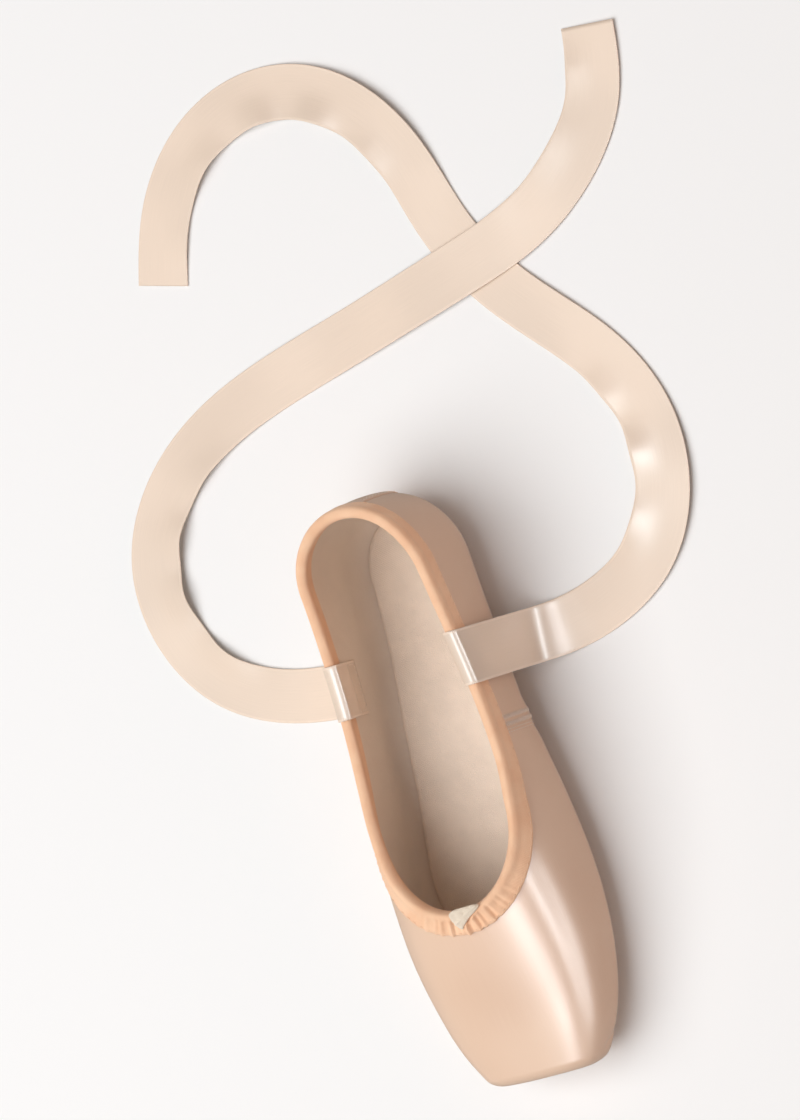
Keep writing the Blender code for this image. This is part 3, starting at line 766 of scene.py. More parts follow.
def normals_of(points):
    """The last's outward normals at points on or near it."""
    return unit(slope(points))


def settle(points, distance=0.0):
    """The points moved onto the last, each time by the misfit over its slope, then out along the normal."""
    points = np.array(points, float)
    for _ in range(SETTLE_ROUNDS):
        gradient = slope(points)
        points -= gradient * (misfit(points) / (gradient**2).sum(-1))[..., None]
    return points + normals_of(points) * np.asarray(distance)[..., None]


def under_height(station, reach):
    """Height of the upper's outside under the shoe: the section's lower superellipse, read at a reach."""
    ratio = np.clip(reach / widest_reach(station), 0, 1)
    power = last["base_power"](station)
    widest = last["widest_height"](station)
    return widest - (widest - base_height(station)) * (1 - ratio**power) ** (1 / power)


def rise(low, high, steps):
    """Places from low to high that crowd together towards high, as a sine does; low itself is left out."""
    return low + (high - low) * np.sin(np.linspace(0, math.pi / 2, steps + 1))[1:]


def heel_fan(steps):
    """Stations at equal angles round the heel centre, from the back to the side."""
    return HEEL_CENTRE * (1 - np.cos(np.linspace(0, math.pi / 2, steps + 1)))


def upper_stations(fan, quarter, throat, box, toe, edge):
    """Stations from heel to platform, closer together where an edge turns across the shoe."""
    tip = SOLE_TIP - MARGIN_UNDER_SOLE - SOLE_WIDEST
    first = math.asin((THROAT - SOLE_WIDEST) / tip)
    around_tip = SOLE_WIDEST + tip * np.sin(np.linspace(first, math.pi / 2, box + 1))[1:]
    shoulder = LENGTH - PLATFORM_ROUNDING
    return np.concatenate([
        heel_fan(fan),
        np.linspace(HEEL_CENTRE, THROAT_BACK, quarter + 1)[1:],
        rise(THROAT_BACK, THROAT, throat),
        around_tip,
        np.linspace(around_tip[-1], shoulder, toe + 1)[1:],
        rise(shoulder, LENGTH, edge),
    ])


def upper_half(steps, rows):
    """Half of the upper's outside: rows from the hole underneath to the topline or crown, then the platform.

    The rows keep to the tuck and the shoulder at every station. The platform's rings shrink to its centre.
    Gives the points, the normals, the run and girth of each point, how far it lies below the widest line as a
    share, and its distance from the crown.
    """
    stations = upper_stations(*steps)
    reach, height, length = sections(stations)
    half = reach.shape[1] // 2
    opening = sole_reach(stations, MARGIN_UNDER_SOLE)[:, None]
    start = read(opening, reach[:, : half + 1], length[:, : half + 1])[:, 0]
    turns = [length[:, np.searchsorted(SECTION_TURNS, turn)] for turn in (TUCK_TURN, SHOULDER_TURN)]
    knots = np.column_stack([start, *turns, top_lengths(stations, reach, height, length)])
    shares = np.concatenate([[0], *(i + np.linspace(0, 1, n + 1)[1:] for i, n in enumerate(rows))])
    low = np.minimum(shares.astype(int), len(rows) - 1)
    at = knots[:, low] + (knots[:, low + 1] - knots[:, low]) * (shares - low)
    points = place(stations[:, None], read(at, length, reach), read(at, length, height))
    normals = normals_of(points)
    girth = at - length[:, half, None]
    from_crown = length[:, -1:] - at
    run = np.broadcast_to(run_of(stations)[:, None], girth.shape)
    left = 1 - np.linspace(0, 1, PLATFORM_STEPS + 1)[1:, None, None]
    centre = (LENGTH, 0.0, (points[-1, 0, 2] + points[-1, -1, 2]) / 2)
    rings = centre + (points[-1] - centre) * left
    inward = (1 - left[..., 0]) * np.linalg.norm(points[-1] - centre, axis=-1)
    points = np.concatenate([points, rings])
    normals = np.concatenate([normals, np.broadcast_to((1.0, 0, 0), rings.shape)])
    run = np.concatenate([run, LENGTH + inward])
    on_rings = [np.broadcast_to(values[-1], rings.shape[:2]) for values in (girth, from_crown)]
    girth, from_crown = np.concatenate([girth, on_rings[0]]), np.concatenate([from_crown, on_rings[1]])
    station = np.minimum(points[..., 0], LENGTH)
    widest = last["widest_height"](station)
    lower = np.clip((widest - points[..., 2]) / (widest - base_height(station)), 0, 1)
    return points, normals, run, girth, lower, from_crown


def undulation(points, wavelength, seed):
    """A sum of plane waves of one wavelength in seeded directions, about 1 high."""
    chance = np.random.default_rng(seed)
    directions = unit(chance.normal(size=(WAVE_COUNT, 3)))
    phases = chance.uniform(0, 2 * math.pi, WAVE_COUNT)
    turns = points @ directions.T * (2 * math.pi / wavelength) + phases
    return np.sin(turns).sum(-1) / math.sqrt(WAVE_COUNT)


def ridge(at, height, middle, width):
    """A bell-shaped ridge of a height round its middle."""
    return height * bell(at - middle, width)


def crease(beside, width):
    """A soft crease across its line: a bell-shaped trough with a lower ridge on one side."""
    height, away, spread = CREASE_RIDGE
    return height * bell(beside - away * width, spread * width) - bell(beside, width)


def knife_pleat(beside, width):
    """A pressed pleat across its line: a sharp step down outwards, with a slow rise before and after it."""
    past = smooth_step(beside, -PLEAT_STEP, PLEAT_STEP)
    lip = PLEAT_LIP * np.exp(np.minimum(beside, 0) / (PLEAT_RISE * width))
    trough = -np.exp(-np.maximum(beside, 0) / width)
    return lip * (1 - past) + trough * past


def folds(rows, first, second, scale, profile):
    """Sum of folds over points given by two coordinates; each fades in at its start and out at its end.

    A row gives a fold's two ends, its depth and its width. Its profile faces away from the line where the
    second coordinate is zero.
    """
    total = np.zeros(first.shape)
    for a0, b0, a1, b1, depth, width in rows:
        length = math.hypot(a1 - a0, b1 - b0)
        heading = ((a1 - a0) / length, (b1 - b0) / length)
        along = ((first - a0) * heading[0] + (second - b0) * heading[1]) / length
        beside = (second - b0) * heading[0] - (first - a0) * heading[1]
        fade = smooth_step(along, *FOLD_START) * (1 - smooth_step(along, *FOLD_END))
        total += scale * depth * fade * profile(beside * math.copysign(1, b0 + b1), width)
    return total


def throat_turn(points):
    """Place of a point round the throat's ellipse in plan: its turn from straight ahead, and how far out."""
    ahead = (points[..., 0] - THROAT_BACK) / THROAT_DEPTH
    aside = points[..., 1] / THROAT_HALF_WIDTH
    size = (THROAT_DEPTH + THROAT_HALF_WIDTH) / 2
    return np.arctan2(aside, ahead), (np.hypot(ahead, aside) - 1) * size


def satin_relief(points, run, girth, lower, side, sizes):
    """How far the satin stands off the last: pleats, creases, gathers at the throat, seam and slow waves."""
    under = smooth_step(lower, *UNDERSIDE)
    beside_sole = smooth_step(np.abs(points[..., 1]) - sole_reach(points[..., 0]), *PLEATS_START)
    ahead_of_sole = smooth_step(points[..., 0], *(SOLE_TIP + start for start in PLEATS_START))
    pleats = folds(PLEATS, points[..., 0], points[..., 1], sizes.pleat_depth / MM, knife_pleat)
    own = [row[1:] for row in CREASES if row[0] == side]
    creases = folds(own, run, girth, sizes.crease_depth / MM, crease)
    turn, out = throat_turn(points)
    near = bell(turn, GATHER_SPREAD) * np.exp(-np.maximum(out, 0) / GATHER_REACH)
    gathers = GATHER_HEIGHT * (near * smooth_step(out, *GATHER_START)) * waves(turn, GATHER_WAVES)
    seam = ridge(run - SEAM_STATION, SEAM_RIDGE_HEIGHT, SEAM_MIDDLE, SEAM_RIDGE_WIDTH)
    seam = seam * smooth_step(girth, *SEAM_RIDGE_START)
    free = smooth_step(run, *SLOW_WAVES_START) * (1 - under)
    slow = SLOW_WAVE_HEIGHT * undulation(points, SLOW_WAVE_LENGTH, SLOW_WAVE_SEED) * free
    return pleats * under * np.maximum(beside_sole, ahead_of_sole) + creases + gathers + seam + slow


def grid_faces(rows, columns, closed=False):
    """Corner numbers of the quads of a grid of points, as one array."""
    row = np.arange(rows - 1)[:, None] * columns
    column = np.arange(columns if closed else columns - 1)[None]
    beside = (column + 1) % columns
    corners = (row + column, row + columns + column, row + columns + beside, row + beside)
    return np.stack(np.broadcast_arrays(*corners), axis=-1).reshape(-1, 4)


def mesh_piece(name, points, faces, material, uv=None, attribute=None, weld=True):
    """A finished mesh from arrays: doubles merged, no faces in the plane Y = 0, faces turned outwards."""
    co = np.array(points, float).reshape(-1, 3)
    co[:, 0] -= MIDDLE
    mesh = bpy.data.meshes.new(name)
    mesh.from_pydata(co * MM, [], faces)
    if uv is not None:
        corners = uv if len(uv) == len(faces) else uv.reshape(-1, 2)[faces]
        mesh.uv_layers.new(name="cloth").data.foreach_set("uv", corners.reshape(-1))
    for key, values in (attribute or {}).items():
        marks = mesh.attributes.new(key, "FLOAT", "POINT")
        marks.data.foreach_set("value", np.ravel(values).astype(np.float32))
    shape = bmesh.new()
    shape.from_mesh(mesh)
    if weld:
        bmesh.ops.remove_doubles(shape, verts=shape.verts, dist=DOUBLES_APART)
        inner = [face for face in shape.faces if all(abs(vert.co.y) < ON_PLANE for vert in face.verts)]
        bmesh.ops.delete(shape, geom=inner, context="FACES")
    if shape.calc_volume(signed=True) < 0:
        bmesh.ops.reverse_faces(shape, faces=shape.faces)
    shape.to_mesh(mesh)
    shape.free()
    mesh.materials.append(material)
    mesh.shade_smooth()
    piece = bpy.data.objects.new(name, mesh)
    bpy.context.scene.collection.objects.link(piece)
    return piece


def join_halves(name, halves, material, uv, attribute=None, rear_uv=None, split=0):
    """A closed piece from its two half rings, each a grid with closed rows, joined along the plane Y = 0.

    A rear map of the cloth holds for the faces of the rows before the split.
    """
    stations, rows = halves[0].shape[:2]
    faces = grid_faces(stations, rows, closed=True)
    other = faces[:, ::-1] + stations * rows
    faces = np.concatenate([faces, other])
    doubled = {key: np.stack([values, values]) for key, values in (attribute or {}).items()}
    corners = np.stack([uv, uv * (1, -1)]).reshape(-1, 2)[faces]
    if rear_uv is not None:
        rear = np.stack([rear_uv, rear_uv * (1, -1)]).reshape(-1, 2)[faces]
        behind = faces.min(axis=1) % (stations * rows) < split * rows
        corners = np.where(behind[:, None, None], rear, corners)
    return mesh_piece(name, np.stack(halves), faces, material, corners, doubled)


def mirrored(points):
    """The points and their mirror image in the plane Y = 0."""
    return [points, points * (1, -1, 1)]


def stitch_piece(name, middles, headings, normals, lengths, radius, material):
    """Stitches as small threads: each a rod with round ends that dip into the cloth.

    Its thickness is the root of 1 less the fourth power of the place along it, and it dips with the square.
    """
    along = np.linspace(-1, 1, STITCH_RINGS)[:, None]
    around = np.arange(STITCH_SIDES) * (2 * math.pi / STITCH_SIDES)
    thick = np.clip(1 - along**4, STITCH_TIP, 1) ** 0.5
    half = np.reshape(lengths, (-1, 1, 1, 1)) / 2
    forward = (along * np.ones(STITCH_SIDES))[..., None] * half
    aside = (radius * thick * np.cos(around))[..., None]
    up = (radius * (thick * np.sin(around) - STITCH_DIP * along**2 + STITCH_LIFT))[..., None]
    headings, normals = headings[:, None, None], normals[:, None, None]
    points = middles[:, None, None] + forward * headings + aside * np.cross(normals, headings) + up * normals
    cap = np.array(STITCH_CAP)
    ends = [cap, cap[:, ::-1] + STITCH_SIDES * (STITCH_RINGS - 1)]
    one = np.concatenate([grid_faces(STITCH_RINGS, STITCH_SIDES, closed=True), *ends])
    starts = STITCH_RINGS * STITCH_SIDES * np.arange(len(middles))
    return mesh_piece(name, points, (one[None] + starts[:, None, None]).reshape(-1, 4), material, weld=False)


def finish_piece(piece, slot, *nodes):
    """The piece rides on the shoe's one body and stands for its nodes; the slot is not used."""
    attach(piece, "root")
    if nodes:
        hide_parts(*nodes)
    return piece


class Paint:
    """A material and short ways to add nodes to it."""

    def __init__(self, name, roughness, specular=0.5, sheen=0.0, coat=0.0, metallic=0.0):
        self.material = bpy.data.materials.new(name)
        self.material.use_nodes = True
        self.tree = self.material.node_tree
        self.shader = self.tree.nodes["Principled BSDF"]
        constants = {
            "Roughness": roughness,
            "Specular IOR Level": specular,
            "Metallic": metallic,
            "Sheen Weight": sheen,
            "Sheen Roughness": SHEEN_ROUGHNESS,
            "Coat Weight": coat,
            "Coat Roughness": COAT_ROUGHNESS,
        }
        for key, value in constants.items():
            self.shader.inputs[key].default_value = value

    def add(self, kind, inputs=(), **settings):
        """A new node with its settings and what feeds its inputs."""
        node = self.tree.nodes.new(kind)
        for key, value in settings.items():
            setattr(node, key, value)
        for key, value in dict(inputs).items():
            self.feed(node.inputs[key], value)
        return node

    def feed(self, socket, value):
        """Links the socket to another node's output, or sets its value."""
        if isinstance(value, bpy.types.NodeSocket):
            self.tree.links.new(value, socket)
        else:
            socket.default_value = value

    def math(self, operation, first, second=0.0):
        """One operation on two values."""
        return self.add("ShaderNodeMath", {0: first, 1: second}, operation=operation).outputs[0]

    def mix(self, share, low, high):
        """The low colour where the share is zero, the high one where it is one, and a blend between."""
        node = self.add("ShaderNodeMix", {"Factor": share}, data_type="RGBA")
        for key, colour in (("A", low), ("B", high)):
            self.feed(node.inputs[key], colour if isinstance(colour, bpy.types.NodeSocket) else (*colour, 1))
        return node.outputs["Result"]

    def band(self, value, low, high):
        """Zero below the low value, one above the high one, and a smooth step between."""
        inputs = {"Value": value, "From Min": low, "From Max": high}
        node = self.add("ShaderNodeMapRange", inputs, interpolation_type="SMOOTHSTEP", clamp=True)
        return node.outputs["Result"]

    def noise(self, place, stretch, detail):
        """Cloudy noise that repeats so many times in a metre along each axis."""
        mapping = self.add("ShaderNodeMapping", {"Vector": place, "Scale": stretch})
        node = self.add("ShaderNodeTexNoise", {"Vector": mapping.outputs[0], "Scale": 1.0, "Detail": detail})
        return node.outputs[0]

    def place(self):
        """Places on the piece, in the frame's axes."""
        return self.add("ShaderNodeTexCoord").outputs["Object"]

    def cloth(self):
        """Places on the piece's own map of its cloth, in metres along it and across it."""
        return self.add("ShaderNodeUVMap", uv_map="cloth").outputs[0]

    def axes(self, place):
        """The separate measures of a place along its first two axes."""
        return self.add("ShaderNodeSeparateXYZ", {0: place}).outputs[:2]

    def bump(self, height, depth, below=None):
        """A normal bent by a height of so many metres, over another one below it."""
        node = self.add("ShaderNodeBump", {"Height": height, "Strength": 1.0, "Distance": depth})
        if below is not None:
            self.feed(node.inputs["Normal"], below)
        return node.outputs[0]

    def finish(self, colour, roughness=None, normal=None):
        """The material, with what was worked out linked to its shader."""
        for key, value in (("Base Color", colour), ("Roughness", roughness), ("Normal", normal)):
            if value is not None:
                self.feed(self.shader.inputs[key], value)
        return self.material


def toned(colour, share):
    """The colour made darker, or lighter up to white, by a share."""
    return tuple(min(1, share * part) for part in colour)


def satin_material(name, light, deep, gloss, edge=None):
    """Satin: a deep and a light tone in slow clouds and fine threads, glossy, with a faint bump of threads.

    A ribbon's woven edges, outside a distance from its middle, are lighter, duller and ribbed.
    """
    paint = Paint(name, gloss, specular=0.9, coat=0.2, metallic=0.05)
    cloth = paint.cloth()
    clouds = paint.noise(paint.place(), SATIN_CLOUDS, 1.0)
    threads = paint.noise(cloth, SATIN_THREADS, 1.0)
    slubs = paint.noise(cloth, SATIN_SLUBS, 2.0)
    tones = paint.math("ADD", clouds, paint.math("MULTIPLY", threads, SATIN_THREADS_IN_TONE))
    colour = paint.mix(paint.band(tones, *SATIN_TONES), deep, light)
    rough = paint.math("ADD", paint.math("MULTIPLY", threads, SATIN_GLOSS_SPAN), gloss - SATIN_GLOSS_SPAN / 2)
    height = paint.math("ADD", threads, paint.math("MULTIPLY", slubs, SATIN_SLUB_HEIGHT))
    bump = paint.bump(height, SATIN_BUMP)
    if edge:
        along, across = paint.axes(cloth)
        woven = paint.band(paint.math("ABSOLUTE", across), edge - WOVEN_EDGE_BLUR, edge + WOVEN_EDGE_BLUR)
        ribs = paint.math("SINE", paint.math("MULTIPLY", along, 2 * math.pi / WOVEN_EDGE_PITCH))
        pale = toned(light, WOVEN_EDGE_TONE)
        colour = paint.mix(paint.math("MULTIPLY", woven, WOVEN_EDGE_SHARE), colour, pale)
        rough = paint.math("ADD", rough, paint.math("MULTIPLY", woven, WOVEN_EDGE_DULLER))
        bump = paint.bump(paint.math("MULTIPLY", ribs, woven), WOVEN_EDGE_BUMP, bump)
    return paint.finish(colour, rough, bump)


def cotton_material(name, light, deep, pitch, depth, roughness=0.85, diagonal=False):
    """Plain-woven cotton: two crossed sine waves as the threads, with clouds of a second tone."""
    paint = Paint(name, roughness, specular=0.25, sheen=0.25)
    first, second = paint.axes(paint.cloth())
    if diagonal:
        first, second = paint.math("ADD", first, second), paint.math("SUBTRACT", first, second)
    turns = 2 * math.pi / (pitch * MM)
    threads = [paint.math("SINE", paint.math("MULTIPLY", value, turns)) for value in (first, second)]
    weave = paint.math("MULTIPLY", *threads)
    clouds = paint.noise(paint.place(), COTTON_CLOUDS, 3.0)
    fuzz = paint.noise(paint.place(), COTTON_FUZZ, 2.0)
    crossings = paint.math("MULTIPLY", weave, COTTON_WEAVE_IN_TONE)
    share = paint.math("ADD", crossings, paint.band(clouds, *COTTON_TONES))
    height = paint.math("ADD", weave, fuzz)
    return paint.finish(paint.mix(share, deep, light), None, paint.bump(height, depth * MM))


def leather_material(name, light, deep, line, sizes):
    """Sole leather: clouded grain, a pressed diamond hatch inside a plain border line, and edges darkened
    partly as burnished leather and partly as painted shade under the edge.

    The hatch is two families of straight grooves at a right angle; each is the distance to the nearest line.
    """
    paint = Paint(name, 0.55, specular=0.4)
    place = paint.place()
    ahead, aside = paint.axes(place)
    border = paint.add("ShaderNodeAttribute", attribute_name="border").outputs["Fac"]
    edge = paint.add("ShaderNodeAttribute", attribute_name="edge").outputs["Fac"]
    grooves = []
    for combine in ("ADD", "SUBTRACT"):
        across = paint.math("MULTIPLY", paint.math(combine, ahead, aside), math.sqrt(0.5))
        away = paint.math("PINGPONG", across, sizes.hatch_pitch / 2)
        beside = paint.math("ABSOLUTE", paint.math("SUBTRACT", away, HATCH_PAIR * MM))
        fine = paint.math("SUBTRACT", 1.0, paint.band(beside, *HATCH_GROOVE))
        strip = paint.math("SUBTRACT", 1.0, paint.band(away, *HATCH_STRIP))
        strip = paint.math("MULTIPLY", strip, HATCH_STRIP_DEPTH)
        grooves.append(paint.math("MAXIMUM", fine, strip))
    hatch = paint.math("MULTIPLY", paint.math("MAXIMUM", *grooves), paint.band(border, *HATCH_BEGINS))
    rim = paint.math("SUBTRACT", 1.0, paint.band(paint.math("ABSOLUTE", border), *BORDER_LINE))
    pressed = paint.math("MAXIMUM", hatch, rim)
    clouds = paint.noise(place, LEATHER_CLOUDS, 4.0)
    grain = paint.noise(place, LEATHER_GRAIN, 3.0)
    body = paint.mix(paint.band(clouds, *LEATHER_TONES), deep, light)
    worn = paint.mix(paint.math("MULTIPLY", pressed, PRESSED_DARKER), body, line)
    # painted shade, partly burnished leather: the sole's edge and the underside near it are darkened towards
    # the line colour
    burnished_shaded_edge = paint.math("SUBTRACT", 1.0, paint.band(edge, *BURNISHED_SHADED_EDGE))
    colour = paint.mix(paint.math("MULTIPLY", burnished_shaded_edge, BURNISHED_SHADED_DARKER), worn, line)
    fine_bump = paint.bump(grain, LEATHER_BUMP)
    height = paint.math("SUBTRACT", 1.0, pressed)
    return paint.finish(colour, None, paint.bump(height, sizes.hatch_depth, fine_bump))


def thread_material(name, colour):
    """Sewing thread: one tone with a twist as a fine bump."""
    paint = Paint(name, 0.5, specular=0.5, sheen=0.2)
    twist = paint.noise(paint.place(), THREAD_TWIST, 1.0)
    shade = paint.mix(paint.band(twist, *THREAD_TONES), toned(colour, THREAD_DEEP), colour)
    return paint.finish(shade, None, paint.bump(twist, THREAD_BUMP))


class PointeSizes(bpy.types.PropertyGroup):
    """Sizes of what is added to the frame."""

    pleat_depth: FloatProperty(
        name="Pleat depth", description="Scale of the pleats under the toe", default=0.001, unit="LENGTH")
    crease_depth: FloatProperty(
        name="Crease depth", description="Scale of the creases on the sides", default=0.001, unit="LENGTH")
    pucker_depth: FloatProperty(
        name="Pucker depth", description="Depth of the binding's gathers", default=0.00042, unit="LENGTH")
    stitch_length: FloatProperty(
        name="Stitch length", description="Length of a stitch that shows", default=0.0019, unit="LENGTH")
    stitch_pitch: FloatProperty(
        name="Stitch pitch", description="Distance between two stitches", default=0.0028, unit="LENGTH")
    thread_radius: FloatProperty(
        name="Thread radius", description="Radius of the sewing thread", default=0.00017, unit="LENGTH")
    hatch_pitch: FloatProperty(
        name="Hatch pitch", description="Distance between two lines of the sole's hatch", default=0.0027,
        unit="LENGTH")
    hatch_depth: FloatProperty(
        name="Hatch depth", description="Depth of the pressed hatch", default=0.00022, unit="LENGTH")
    ribbon_thickness: FloatProperty(
        name="Ribbon thickness", description="Thickness of the satin ribbon", default=0.00034, unit="LENGTH")
    ribbon_ripple: FloatProperty(
        name="Ribbon ripple", description="Height of a laid ribbon's waves", default=0.0022, unit="LENGTH")


def colour_property(name, description, default):
    """A colour that a user may change."""
    return FloatVectorProperty(
        name=name, description=description, default=default, subtype="COLOR", min=0, max=1)


class PointeColours(bpy.types.PropertyGroup):
    """Colours of the shoe and of the studio."""

    satin_light: colour_property("Satin, light", "Light tone of the satin", (0.87, 0.625, 0.465))
    satin_deep: colour_property("Satin, deep", "Deep tone of the satin", (0.82, 0.57, 0.415))
    binding_light: colour_property("Binding, light", "Light tone of the tape", (1.0, 0.665, 0.445))
    binding_deep: colour_property("Binding, deep", "Deep tone of the tape", (0.94, 0.57, 0.36))
    ribbon: colour_property("Ribbon", "Colour of the satin ribbon", (0.90, 0.735, 0.60))
    cord: colour_property("Drawstring", "Colour of the drawstring's end", (1.0, 0.87, 0.71))
    leather_light: colour_property("Leather, light", "Light tone of the sole", (0.655, 0.515, 0.395))
    leather_deep: colour_property("Leather, deep", "Deep tone of the sole", (0.56, 0.42, 0.31))
    # its use at the sole's edge is partly burnished leather and partly painted shade
    leather_line: colour_property("Leather line", "Pressed lines and edge of the sole", (0.25, 0.15, 0.09))
    lining: colour_property("Lining", "Cotton inside the shoe", (0.90, 0.765, 0.65))
    thread: colour_property("Thread", "Sewing thread", (1.0, 0.87, 0.76))
    floor: colour_property("Floor", "The studio's floor", (0.932, 0.94, 0.95))


def add_upper(sizes, colours):
    """The satin skin: the outside of the last with its relief, closed by a plainer layer inside the wall.

    Its cloth is mapped along the shoe, and across it from the crown, or from the widest line behind the seam.
    """
    points, normals, run, girth, lower, from_crown = upper_half(UPPER_STEPS, UPPER_ROWS)
    hidden, inward, *_ = upper_half(UPPER_STEPS, UPPER_INNER_ROWS)
    depth = wall_thickness(np.minimum(hidden[..., 0], LENGTH))[..., None] * SKIN_DEPTH
    halves = []
    for side in (1, -1):
        turned = points * (1, side, 1)
        relief = satin_relief(turned, run, girth, lower, side, sizes)
        skin = turned + normals * (1, side, 1) * relief[..., None]
        halves.append(np.concatenate([skin, ((hidden - inward * depth) * (1, side, 1))[:, ::-1]], axis=1))
    inner = np.zeros((*hidden.shape[:2], 2))
    maps = [np.stack([run, across], axis=-1) * MM for across in (from_crown, girth)]
    front, rear = (np.concatenate([cloth, inner], axis=1) for cloth in maps)
    seam = np.searchsorted(run[:, 0], SEAM_STATION)
    satin = satin_material("satin", colours.satin_light, colours.satin_deep, SKIN_ROUGHNESS)
    skin = join_halves("satin_upper", halves, satin, front, rear_uv=rear, split=seam)
    finish_piece(skin, "satin", "upper")


def plate_stations(nose_start, tip, steps):
    """Stations of a flat piece under or in the shoe, from its rounded heel to its rounded tip."""
    fan, body, nose = steps
    ahead = np.linspace(HEEL_CENTRE, nose_start, body + 1)[1:]
    return np.concatenate([heel_fan(fan), ahead, rise(nose_start, tip, nose)])


def add_lining(colours):
    """The cotton lining: the inner half of the wall, two offsets inside the last."""
    points, normals, run, girth, *_ = upper_half(LINING_STEPS, LINING_ROWS)
    wall = wall_thickness(np.minimum(points[..., 0], LENGTH))[..., None]
    behind = points - normals * (wall / 2 + LINING_GAP)
    shell = np.concatenate([behind, (points - normals * wall)[:, ::-1]], axis=1)
    uv = np.stack([run, girth], axis=-1) * MM
    uv = np.concatenate([uv, uv[:, ::-1]], axis=1)
    deep = toned(colours.lining, LINING_DEEP)
    drill = cotton_material("lining_cotton", colours.lining, deep, *LINING_WEAVE, diagonal=True)
    finish_piece(join_halves("cotton_lining", mirrored(shell), drill, uv), "insole_linen")


def hatch_border(points):
    """Metres inside the hatched field: the least distance from the sole's edge, the rear arc or the bay."""
    x, y = points[..., 0], np.abs(points[..., 1])
    side = sole_reach(x, HATCH_MARGIN) - y
    tip = SOLE_TIP - HATCH_MARGIN - x
    rear = x - HATCH_REAR - HATCH_REAR_DROP * smooth_step(y, *HATCH_REAR_BEND)
    bay = np.hypot(x - HATCH_BAY_CENTRE, y) - HATCH_BAY_RADIUS
    return np.minimum.reduce([side, tip, rear, bay]) * MM


def add_sole(sizes, colours):
    """The leather sole: its underside follows the upper down to the floor, with a rounded lower edge."""
    stations = plate_stations(SOLE_WIDEST, SOLE_TIP, SOLE_STEPS)[:, None]
    shares = np.linspace(0, 1, SOLE_ROWS)[None]
    edge = sole_reach(stations)
    flat = np.maximum(edge - SOLE_BEVEL, 0)
    lows = under_height(stations, flat * shares) - GAP - SOLE_THICKNESS - SOLE_FOLLOWS_AFTER
    lows = np.maximum(sole_lift(stations), lows)
    turn = np.linspace(0, math.pi / 2, SOLE_BEVEL_STEPS + 1)[None, 1:]
    bevel = np.minimum(SOLE_BEVEL, edge)
    around = edge - bevel * (1 - np.sin(turn))
    tops = under_height(stations, edge * shares) - GAP
    reach = np.concatenate([flat * shares, around, (edge * shares)[:, ::-1]], axis=1)
    height = np.concatenate([lows, lows[:, -1:] + bevel * (1 - np.cos(turn)), tops[:, ::-1]], axis=1)
    points = place(stations, reach, height)
    from_edge = np.broadcast_to(edge, reach.shape) - reach
    below = np.arange(reach.shape[1]) < SOLE_ROWS
    marks = {
        "border": np.where(below, hatch_border(points), -MM),
        # distance from the outline, where the leather is darkened, partly burnished and partly painted shade
        # under the edge
        "edge": np.where(below, from_edge, 0) * MM,
    }
    tones = colours.leather_light, colours.leather_deep, colours.leather_line
    leather = leather_material("sole_leather", *tones, sizes)
    sole = join_halves("leather_sole", mirrored(points), leather, points[..., :2] * MM, marks)
    finish_piece(sole, "sole_leather", "outsole")


def topline(stations):
    """The topline's points on one side, a point for each station."""
    reach, height, length = sections(stations)
    at = top_lengths(stations, reach, height, length)[:, None]
    return place(stations, read(at, length, reach)[:, 0], read(at, length, height)[:, 0])


def add_sock(colours):
    """The cotton sock on its board: a plate on the upper's inside, whose edge is rounded by a power curve."""
    stations = plate_stations(INSOLE_NOSE_START, INSOLE_TIP, SOCK_STEPS)[:, None]
    shares = np.linspace(0, 1, SOCK_ROWS)[None]
    along = np.clip((stations - INSOLE_NOSE_START) / (INSOLE_TIP - INSOLE_NOSE_START), 0, 1)
    inside = widest_reach(np.minimum(stations, INSOLE_NOSE_START)) - INSOLE_FROM_WALL
    inside = inside * np.sqrt(1 - along**2)
    lows = under_height(stations, inside * shares) + wall_thickness(stations) + INSOLE_GAP
    soft = INSOLE_THICKNESS * (SOCK_EDGE + (1 - SOCK_EDGE) * (1 - shares**SOCK_EDGE_POWER) ** 0.5)
    reach = np.concatenate([inside * shares, (inside * shares)[:, ::-1]], axis=1)
    height = np.concatenate([lows, (lows + soft)[:, ::-1]], axis=1)
    points = place(stations, reach, height)
    cotton = cotton_material("sock_cotton", colours.lining, toned(colours.lining, SOCK_DEEP), *SOCK_WEAVE)
    sock = join_halves("cotton_sock", mirrored(points), cotton, points[..., :2] * MM)
    finish_piece(sock, "insole_linen", "insole")


def edge_frame(edge):
    """At each point of the topline: the last's normal, and the way down its surface from the edge."""
    mirror = edge * (1, -1, 1)
    padded = np.concatenate([mirror[1:2], edge, mirror[-2:-1]])
    normal = normals_of(edge)
    return normal, unit(np.cross(normal, unit(padded[2:] - padded[:-2])))


def spline_between(p0, p1, p2, p3, t):
    """The cubic between the middle two of four knots, at shares t of the way.

    Its slope at a knot is half the step between that knot's neighbours.
    """
    square = 2 * p0 - 5 * p1 + 4 * p2 - p3
    cube = 3 * p1 - 3 * p2 + p3 - p0
    return 0.5 * (2 * p1 + (p2 - p0) * t + square * t**2 + cube * t**3)


def closed_spline(knots, steps):
    """Points on a closed smooth curve through knots along the second axis."""
    around = [np.expand_dims(np.roll(knots, shift, 1), 2) for shift in (1, 0, -1, -2)]
    t = (np.arange(steps) / steps).reshape(1, 1, -1, *[1] * (knots.ndim - 2))
    curve = spline_between(*around, t)
    return curve.reshape(knots.shape[0], knots.shape[1] * steps, *knots.shape[2:])


